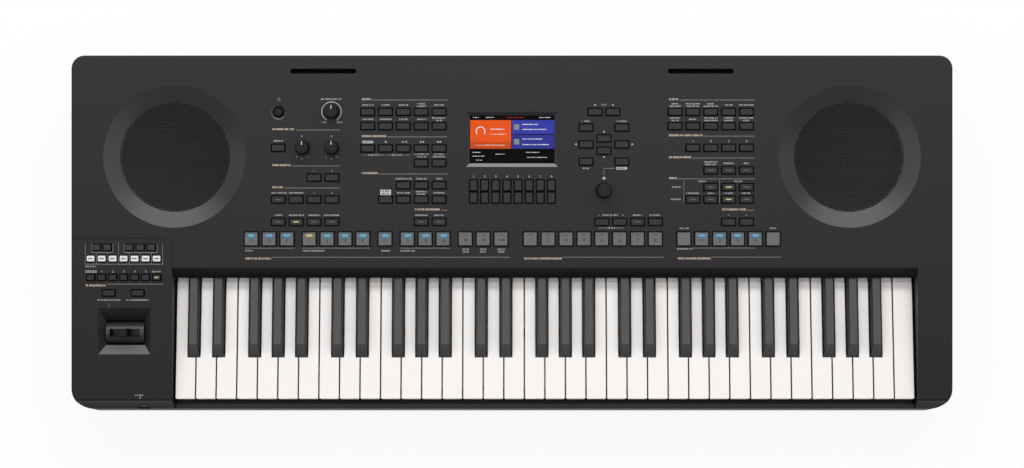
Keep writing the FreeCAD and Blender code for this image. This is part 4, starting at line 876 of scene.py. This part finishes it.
class KEYBOARD_OT_grilles(bpy.types.Operator):
    """Makes the finely perforated speaker grilles"""
    bl_idname = "keyboard.grilles"
    bl_label = "Speaker grilles"

    def execute(self, context):
        look = context.scene.keyboard_grilles
        low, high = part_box("speaker_grilles")
        top_level = (to_panel @ Vector((0, low.y, low.z))).z + look.thickness
        radius = (high.y - low.y) / math.cos(panel_tilt) / 2
        middle_y = (to_panel @ ((low + high) / 2)).y
        # The grille's hole walls, edges and sides get painted shade
        paint = capped("grille_paint", look.metal, 0.44, 0.0004)
        for side, name in ((-1, "left"), (1, "right")):
            middle = to_panel @ Vector(((high.x - radius) * side, 0, 0))
            mesh = bmesh.new()
            self.perforate(mesh, look, radius, Vector((middle.x, middle_y, top_level)))
            mesh.transform(panel_frame)
            made = piece(f"speaker_mesh_{name}", mesh, [paint], "case")
            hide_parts("speaker_grilles")
        return {"FINISHED"}

    def perforate(self, mesh, look, radius, middle):
        """A round sheet of hexagonal cells, each with a hole, in a plain rim. It is dished to its middle."""
        cell, hole = look.pitch / math.sqrt(3), look.hole / math.sqrt(3)
        row_pitch = look.pitch * math.sqrt(3) / 2
        limit = radius - look.pitch
        turns = [math.radians(30 + 60 * corner) for corner in range(6)]
        corners = [(math.cos(turn), math.sin(turn)) for turn in turns]
        known = {}

        def vert(x, y, level):
            key = (round(x * 1e6), round(y * 1e6), level)
            if key not in known:
                dish = look.sag * max(0.0, 1 - (x * x + y * y) / (limit * limit))
                depth = middle.z - dish - level * look.thickness
                known[key] = mesh.verts.new((middle.x + x, middle.y + y, depth))
            return known[key]

        rows = int(limit / row_pitch)
        for row in range(-rows, rows + 1):
            shift = look.pitch / 2 * (row % 2)
            columns = int(limit / look.pitch) + 1
            for column in range(-columns, columns + 1):
                x, y = column * look.pitch + shift, row * row_pitch
                if math.hypot(x, y) > limit - cell:
                    continue
                outer = [[vert(x + cell * c, y + cell * s, level) for c, s in corners] for level in (0, 1)]
                inner = [[vert(x + hole * c, y + hole * s, level) for c, s in corners] for level in (0, 1)]
                for k in range(6):
                    n = (k + 1) % 6
                    for first, second in ((outer[0], inner[0]), (inner[1], outer[1]), inner):
                        mesh.faces.new((first[k], first[n], second[n], second[k]))
        self.rim(mesh, look, radius, middle, known)

    def rim(self, mesh, look, radius, middle, known):
        """Closes the sheet with a plain ring from its ragged edge to its round one."""
        steps = 180
        rings = []
        for level in (0, 1):
            ring = []
            for step in range(steps):
                turn = math.tau * step / steps
                x, y = middle.x + radius * math.cos(turn), middle.y + radius * math.sin(turn)
                ring.append(mesh.verts.new((x, y, middle.z - level * look.thickness)))
            edges = [mesh.edges.new(pair) for pair in zip(ring, ring[1:] + ring[:1])]
            rings.append(ring)
            level_verts = {vert for key, vert in known.items() if key[2] == level}
            open_edges = [e for e in mesh.edges if e.is_boundary and set(e.verts) <= level_verts]
            bmesh.ops.triangle_fill(mesh, use_beauty=True, use_dissolve=False, edges=open_edges + edges)
        band(mesh, *rings)


class KEYBOARD_OT_knobs(bpy.types.Operator):
    """Makes the fluted knobs with their pointers"""
    bl_idname = "keyboard.knobs"
    bl_label = "Knobs"

    def execute(self, context):
        look = context.scene.keyboard_controls
        case = context.scene.keyboard_case
        grip = moulded("knob_plastic", look.knob, 0.56, 0.0005, specular=0.22)
        dress(grip, "power_button")
        pale = printed("pointer_ink", case.bright_ink)
        for name in ("volume_knob", "live_knob_left", "live_knob_right"):
            self.make(name, *small_knob, look, [grip, pale], True)
        self.make("data_dial", *large_knob, look, [grip, pale], False)
        return {"FINISHED"}

    def make(self, node, radius, top_radius, height, look, materials, pointed):
        """Turns a knob's outline round its axis, with flutes in its grip."""
        flutes, steps = 36, 216
        shaft, shaft_foot = 3.0 * mm, -12.2 * mm
        gap, skirt, reach, edge = 0.8 * mm, 1.6 * mm, 0.8 * mm, 1.0 * mm
        top = gap + height
        flare = radius + reach
        outline = [
            (shaft, shaft_foot, 0), (shaft, gap, 0), (flare - 0.3 * mm, gap, 0),
            (flare, gap + 0.3 * mm, 0), (flare, gap + skirt - 0.3 * mm, 0),
            (flare - 0.3 * mm, gap + skirt, 0), (radius + 0.1 * mm, gap + skirt, 0),
            (radius, gap + skirt + 0.5 * mm, 0.4), (radius, gap + skirt + 1.2 * mm, 1.0),
            (top_radius + 0.1 * mm, top - edge * 1.6, 1.0), (top_radius, top - edge, 0.6),
            (top_radius - edge * 0.3, top - edge * 0.3, 0), (top_radius - edge, top - 0.1 * mm, 0),
            (top_radius - 2 * edge, top - 0.02 * mm, 0), (top_radius * 0.4, top, 0),
        ]
        mesh = bmesh.new()
        rings = []
        for r, z, cut in outline:
            ring = []
            for step in range(steps):
                turn = math.tau * step / steps
                dip = cut * look.flute_depth * (0.5 - 0.5 * math.cos(turn * flutes)) ** 2
                ring.append(mesh.verts.new(((r - dip) * math.cos(turn), (r - dip) * math.sin(turn), z)))
            rings.append(ring)
        for low, high in zip(rings, rings[1:]):
            band(mesh, low, high)
        mesh.faces.new(rings[0][::-1])
        mesh.faces.new(rings[-1])
        if pointed:
            self.pointer(mesh, radius, top_radius, top)
        mesh.transform(Matrix.Translation(joints[node + "_turn"]["pos_m"]) @ panel_turn)
        made = piece(node + "_cap", mesh, materials, node, smooth=True)
        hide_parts(node)

    def pointer(self, mesh, radius, top_radius, top):
        """A pale bar let into the top, from near the middle over the rear edge and down the side."""
        half, foot = 0.5 * mm, top * 0.5
        outline = [
            (top_radius * 0.42, top - 0.5 * mm), (top_radius - 1.0 * mm, foot), (radius + 0.02 * mm, foot),
            (top_radius + 0.1 * mm, top - 0.8 * mm), (top_radius - 0.2 * mm, top - 0.05 * mm),
            (top_radius * 0.42, top + 0.03 * mm),
        ]
        sides = [[mesh.verts.new((x, y, z)) for y, z in outline] for x in (-half, half)]
        faces = [mesh.faces.new(sides[0]), mesh.faces.new(sides[1][::-1])]
        for face in faces + band(mesh, *sides):
            face.material_index = 1


class KEYBOARD_OT_prints(bpy.types.Operator):
    """Prints the marks on the panel"""
    bl_idname = "keyboard.prints"
    bl_label = "Printed marks"

    def execute(self, context):
        look = context.scene.keyboard_case
        ink = printed("pale_ink", look.ink)
        bright = printed("bright_ink", look.bright_ink)
        gold, pale_gold = printed("gold_ink", look.gold, 0.4), printed("pale_gold_ink", look.pale_gold, 0.4)
        dark = printed("dark_ink", look.panel)
        marks = Marks(look.ink_height)
        for y, *places in label_rows:
            for x, *widths in places:
                marks.label(x, y, widths)
        for y, *ends in rules:
            for x0, x1 in ends:
                marks.line(x0, x1, y, 0.35)
        for y0, y1, *places in posts:
            for x in places:
                marks.post(x, y0, y1)
        for y, minus, plus in signs:
            marks.sign(minus, y, False)
            marks.sign(plus, y, True)
        for first, pitch, count, y, size in number_rows:
            for step in range(count):
                marks.number(str(step + 1), first + step * pitch, y, size)
        for x, y, turn in arrows:
            marks.arrow(x, y, 1.25, turn, 0 if y > pad_row else 1)
        for block in blocks:
            marks.bar(*block, 0 if block[1] > pad_row else 1)
        marks.bar(385.7, 142.3, 1.6, 1.6, 1)
        marks.bar(405.6, 142.3, 0.5, 1.7, 1)
        marks.bar(406.7, 142.3, 0.5, 1.7, 1)
        self.scales(marks)
        marks.lift(look.ink_height)
        for x, y, width, depth in blocks:
            marks.label(x, y, (width - 2,) if depth < 4 else (width - 2, width - 3), 2)
        piece("panel_marks", marks.mesh, [ink, bright, dark], "case")
        lines = Marks(look.ink_height)
        for start, middle, end, y in gold_headings:
            shift = 1.3 if y > pad_row else -0.8
            lines.words((start + middle) / 2, y + shift, middle - start, 0, 2.0)
            lines.line(middle + 0.9, end, y, 0.42, 1)
        piece("gold_lines", lines.mesh, [gold, pale_gold], "case")
        return {"FINISHED"}

    def scales(self, marks):
        """The power mark, the volume knob's arc, the ticks round the live knobs and the dial's mark."""
        marks.arc(279.0, 99.6, 1.2, 0.35, 125, 415)
        marks.bar(279.0, 98.6, 0.35, 1.4)
        marks.arc(331.5, 112.0, 9.75, 0.62, -60, 240, 1)
        for x in (301.9, 331.5):
            marks.arrow(x, 136.6, 0.9, 270, 1)
            for shift, row in ((-5.4, 157.4), (0.0, 159.2), (5.6, 157.4)):
                marks.bar(x + shift, row, 0.8, 1.0)
        marks.slab([(602.2, 179.5), (605.8, 179.5), (604.8, 177.4), (603.2, 177.4)], 1)


class KEYBOARD_OT_lamps(bpy.types.Operator):
    """Makes the lamps in the pads and buttons, and the marks on the caps"""
    bl_idname = "keyboard.lamps"
    bl_label = "Lamps and cap marks"

    def execute(self, context):
        look = context.scene.keyboard_controls
        case = context.scene.keyboard_case
        self.height = case.ink_height
        dark = printed("cap_ink", (0.02, 0.022, 0.03))
        blue, amber = lit("blue_lamp", look.blue_lamp, 1.0), lit("amber_lamp", look.amber_lamp, 1.0)
        dead = printed("unlit_lamp", look.dead_lamp, 0.3)
        blue_halo = halo("blue_halo", (0.02, 0.22, 0.36), 0.55)
        amber_halo = halo("amber_halo", (0.30, 0.22, 0.07), 0.35)
        finishes = [blue, amber, dead, dark, blue_halo, amber_halo]
        style, registration, multi = (Marks(self.height, pad_level) for _ in range(3))
        for group, (first, count) in enumerate(style_pad_groups):
            for step, x in enumerate(run(first, count)):
                text = "" if group in (2, 4) else str(step + 1)
                self.pad(style, x, text, group < 4, (group, step) == (1, 0))
        self.transport(style)
        for step, x in enumerate(run(registration_first, 8)):
            self.pad(registration, x, str(step + 1), False, False)
        for step, x in enumerate(run(multi_first, 6)[1:5]):
            self.pad(multi, x, str(step + 1), True, False)
        piece("style_pad_lamps", style.mesh, finishes, "style_pads")
        piece("registration_pad_marks", registration.mesh, finishes, "registration_pads")
        piece("multi_pad_lamps", multi.mesh, finishes, "multi_pads")
        self.buttons(finishes)
        return {"FINISHED"}

    def pad(self, marks, x, text, is_lit, warm):
        """One pad's lamp window, its painted spill of light and its number."""
        # Lit pads get a painted glow round their lamp
        if is_lit:
            marks.patch(x, pad_row - 1.3, 12.6, 9.4, 5 if warm else 4)
        else:
            marks.bar(x, pad_lamp_row - 0.6, 5.0, 0.7, 3)
        marks.lift(self.height)
        if is_lit:
            marks.bar(x, pad_lamp_row, 6.2, 1.6, 1 if warm else 0)
        if text:
            marks.number(text, x, pad_row + 1.5, 3.6, 3)
        marks.lift(-self.height)

    def transport(self, marks):
        """Plain stop, dot and play marks on the last pads of the style row."""
        marks.bar(385.5, pad_row + 1.2, 3.2, 0.6, 3)
        x_stop, x_dot, x_play = run(465.9, 3)
        marks.bar(x_stop, pad_row + 1.0, 2.6, 2.6, 3)
        marks.arc(x_dot, pad_row + 1.0, 1.2, 0.7, 0, 360, 3)
        marks.arrow(x_play - 1.6, pad_row + 1.0, 1.7, 0, 3)
        marks.bar(x_play + 2.0, pad_row + 1.0, 2.2, 2.2, 3)

    def buttons(self, finishes):
        """Lamp windows in button caps with a painted spill of light round the lit ones, bars on the scale
        buttons and the power button's ring.
        """
        for bank, rows in lamp_rows.items():
            marks = Marks(self.height, button_level)
            width, spill = (4.2, 6.2) if bank == "scale_memory_buttons" else (5.6, 11.6)
            for y, *places in rows:
                for x, is_lit in places:
                    marks.bar(x, y - 0.1, width, 1.0, 1 if is_lit else 2)
                    # Lit windows get a painted glow on the cap round them
                    if is_lit:
                        marks.lift(-self.height / 2)
                        marks.patch(x, y + 0.65, spill, 3.4, 5)
                        marks.lift(self.height / 2)
            piece(bank + "_lamps", marks.mesh, finishes, bank)
        marks = Marks(self.height, button_level)
        for x in run(90.8, 7, scale_pitch):
            marks.bar(x, 259.0, 4.6, 1.2, 2)
        piece("scale_button_marks", marks.mesh, finishes, "scale_note_buttons")
        marks = Marks(self.height, power_level)
        marks.arc(*power_pixel, 4.0, 0.7, 0, 360)
        piece("power_button_ring", marks.mesh, [jet("ring_black")], "power_button")


class KEYBOARD_OT_display(bpy.types.Operator):
    """Makes the display's glass and a plain picture behind it"""
    bl_idname = "keyboard.display"
    bl_label = "Display"

    def execute(self, context):
        look = context.scene.keyboard_controls
        dress(jet("screen_black"), "display_panel")
        self.glass()
        shades = {
            "orange": look.orange, "deep_orange": [part * 0.72 for part in look.orange],
            "violet": look.violet, "deep_violet": [part * 0.72 for part in look.violet],
            "white": (0.85, 0.85, 0.85), "grey": (0.25, 0.25, 0.26), "red": (0.6, 0.03, 0.02),
        }
        tints = {name: index for index, name in enumerate(shades)}
        finishes = [lit("screen_" + name, shade, 0.95) for name, shade in shades.items()]
        marks = Marks(film, -picture_depth)
        self.picture(marks, tints)
        piece("screen_picture", marks.mesh, finishes, "case")
        return {"FINISHED"}

    def glass(self):
        """A thin clear sheet with soft edges in front of the picture."""
        low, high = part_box("display_window")
        middle = to_panel @ ((low + high) / 2)
        mesh = soft_block(Vector((high.x - low.x, glass_length, glass_thickness)), 0.2 * mm)
        mesh.transform(panel_frame @ Matrix.Translation((middle.x, middle.y, -glass_depth)))
        made = piece("display_glass", mesh, [clear_glass("window_glass")], "case")
        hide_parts("display_window")

    def picture(self, marks, tints):
        """Plain blocks, bars and dashes in a layout of its own."""
        marks.bar(490.6, 134.6, 41.0, 28.6, tints["orange"])
        marks.bar(533.3, 127.2, 43.2, 13.8, tints["violet"])
        marks.bar(533.3, 141.9, 43.2, 14.0, tints["deep_violet"])
        marks.lift(film)
        marks.bar(490.6, 145.4, 41.0, 7.0, tints["deep_orange"])
        marks.arc(480.5, 131.5, 4.4, 0.8, -40, 220, tints["white"])
        for row in (127.2, 141.9):
            marks.bar(516.6, row, 5.4, 5.4, tints["grey"])
        for x, y, width, height in screen_words:
            marks.words(x, y, width, tints["red" if x == red_words_x else "white"], height)


class KEYBOARD_OT_stage(bpy.types.Operator):
    """Sets the floor, the light and the camera"""
    bl_idname = "keyboard.stage"
    bl_label = "Stage"

    def execute(self, context):
        look = context.scene.keyboard_stage
        scene = context.scene
        scene.view_settings.view_transform = "Standard"
        self.floor(look)
        self.world(scene, look)
        self.lamp("top_light", (0.0, -0.25, 2.2), look.top_light, (3.0, 1.7))
        self.lamp("back_light", (0.0, 1.25, 1.65), look.back_light, (3.4, 0.5))
        self.lamp("left_light", (-1.9, 0.1, 1.0), look.side_light, (0.8, 1.6))
        self.lamp("right_light", (1.9, 0.1, 1.0), look.side_light, (0.8, 1.6))
        self.camera(scene, look)
        return {"FINISHED"}

    def floor(self, look):
        """A wide pale floor that shows white to the camera and keeps the object's shadow."""
        mesh = bmesh.new()
        bmesh.ops.create_grid(mesh, x_segments=8, y_segments=8, size=6.0)
        data = bpy.data.meshes.new("floor")
        mesh.to_mesh(data)
        mesh.free()
        finish = Finish("floor_white")
        cloud = finish.noise(0.5, 2.0)
        base = finish.mix(cloud, rgba(look.floor, 0.995), rgba(look.floor, 1.005))
        finish.surface(base, 0.9)
        rays = finish.node("ShaderNodeLightPath", {}, {}).socket.node.outputs
        seen = [Sock(finish, rays[f"Is {kind} Ray"]) for kind in ("Camera", "Glossy", "Transmission")]
        factor = sum(seen[1:], seen[0]).maths("MINIMUM", 1.0) * 0.9
        white = {"Color": (1, 1, 1, 1), "Strength": 1.0}
        data.materials.append(finish.shared(factor, "ShaderNodeEmission", white, 1))
        made = placed("floor", data)

    def world(self, scene, look):
        """An even sky, white where it is seen."""
        world = bpy.data.worlds.new("studio")
        world.use_nodes = True
        tree = world.node_tree
        sky = tree.nodes["Background"]
        sky.inputs["Color"].default_value = (1, 1, 1, 1)
        path = tree.nodes.new("ShaderNodeLightPath")
        blend = tree.nodes.new("ShaderNodeMix")
        blend.inputs[2].default_value, blend.inputs[3].default_value = look.sky, 1.0
        tree.links.new(path.outputs["Is Camera Ray"], blend.inputs[0])
        tree.links.new(blend.outputs[0], sky.inputs["Strength"])
        scene.world = world

    def lamp(self, name, place, power, size):
        """A large soft light that faces the object."""
        data = bpy.data.lights.new(name, "AREA")
        data.shape, data.size, data.size_y = "RECTANGLE", *size
        data.energy = power
        made = placed(name, data)
        made.location = place
        aim = Vector((0, 0, light_aim)) - Vector(place)
        made.rotation_euler = aim.to_track_quat("-Z", "Y").to_euler()

    def camera(self, scene, look):
        """A camera square to the panel, at the photograph's framing."""
        data = bpy.data.cameras.new("camera")
        data.lens = data.sensor_width * look.distance / (photo_width * pixel)
        made = placed("camera", data)
        made.location = panel_point(*view_pixel, look.distance)
        made.rotation_euler = (panel_tilt, 0, 0)
        scene.camera = made


class KEYBOARD_PT_pieces(bpy.types.Panel):
    """Lists what can be made"""
    bl_idname = "KEYBOARD_PT_pieces"
    bl_label = "Arranger keyboard"
    bl_space_type = "VIEW_3D"
    bl_region_type = "UI"
    bl_category = "Keyboard"

    def draw(self, context):
        for operator in operators:
            self.layout.operator(operator.bl_idname)
        for name, group in groups.items():
            box = self.layout.box()
            for key in group.__annotations__:
                box.prop(getattr(context.scene, name), key)


operators = (
    KEYBOARD_OT_stage, KEYBOARD_OT_case, KEYBOARD_OT_keys, KEYBOARD_OT_inside, KEYBOARD_OT_buttons,
    KEYBOARD_OT_grilles, KEYBOARD_OT_knobs, KEYBOARD_OT_prints, KEYBOARD_OT_lamps, KEYBOARD_OT_display,
)
groups = {
    "keyboard_case": CaseLook, "keyboard_keys": KeyLook, "keyboard_controls": ControlLook,
    "keyboard_grilles": GrilleLook, "keyboard_stage": StageLook,
}


def register():
    for kind in (*groups.values(), *operators, KEYBOARD_PT_pieces):
        bpy.utils.register_class(kind)
    for name, group in groups.items():
        setattr(bpy.types.Scene, name, PointerProperty(type=group))


def unregister():
    for name in groups:
        delattr(bpy.types.Scene, name)
    for kind in (KEYBOARD_PT_pieces, *reversed(operators), *groups.values()):
        bpy.utils.unregister_class(kind)


def main():
    """Makes every piece and the stage."""
    register()
    for operator in operators:
        family, action = operator.bl_idname.split(".")
        getattr(getattr(bpy.ops, family), action)()


if __name__ == "__main__":
    main()
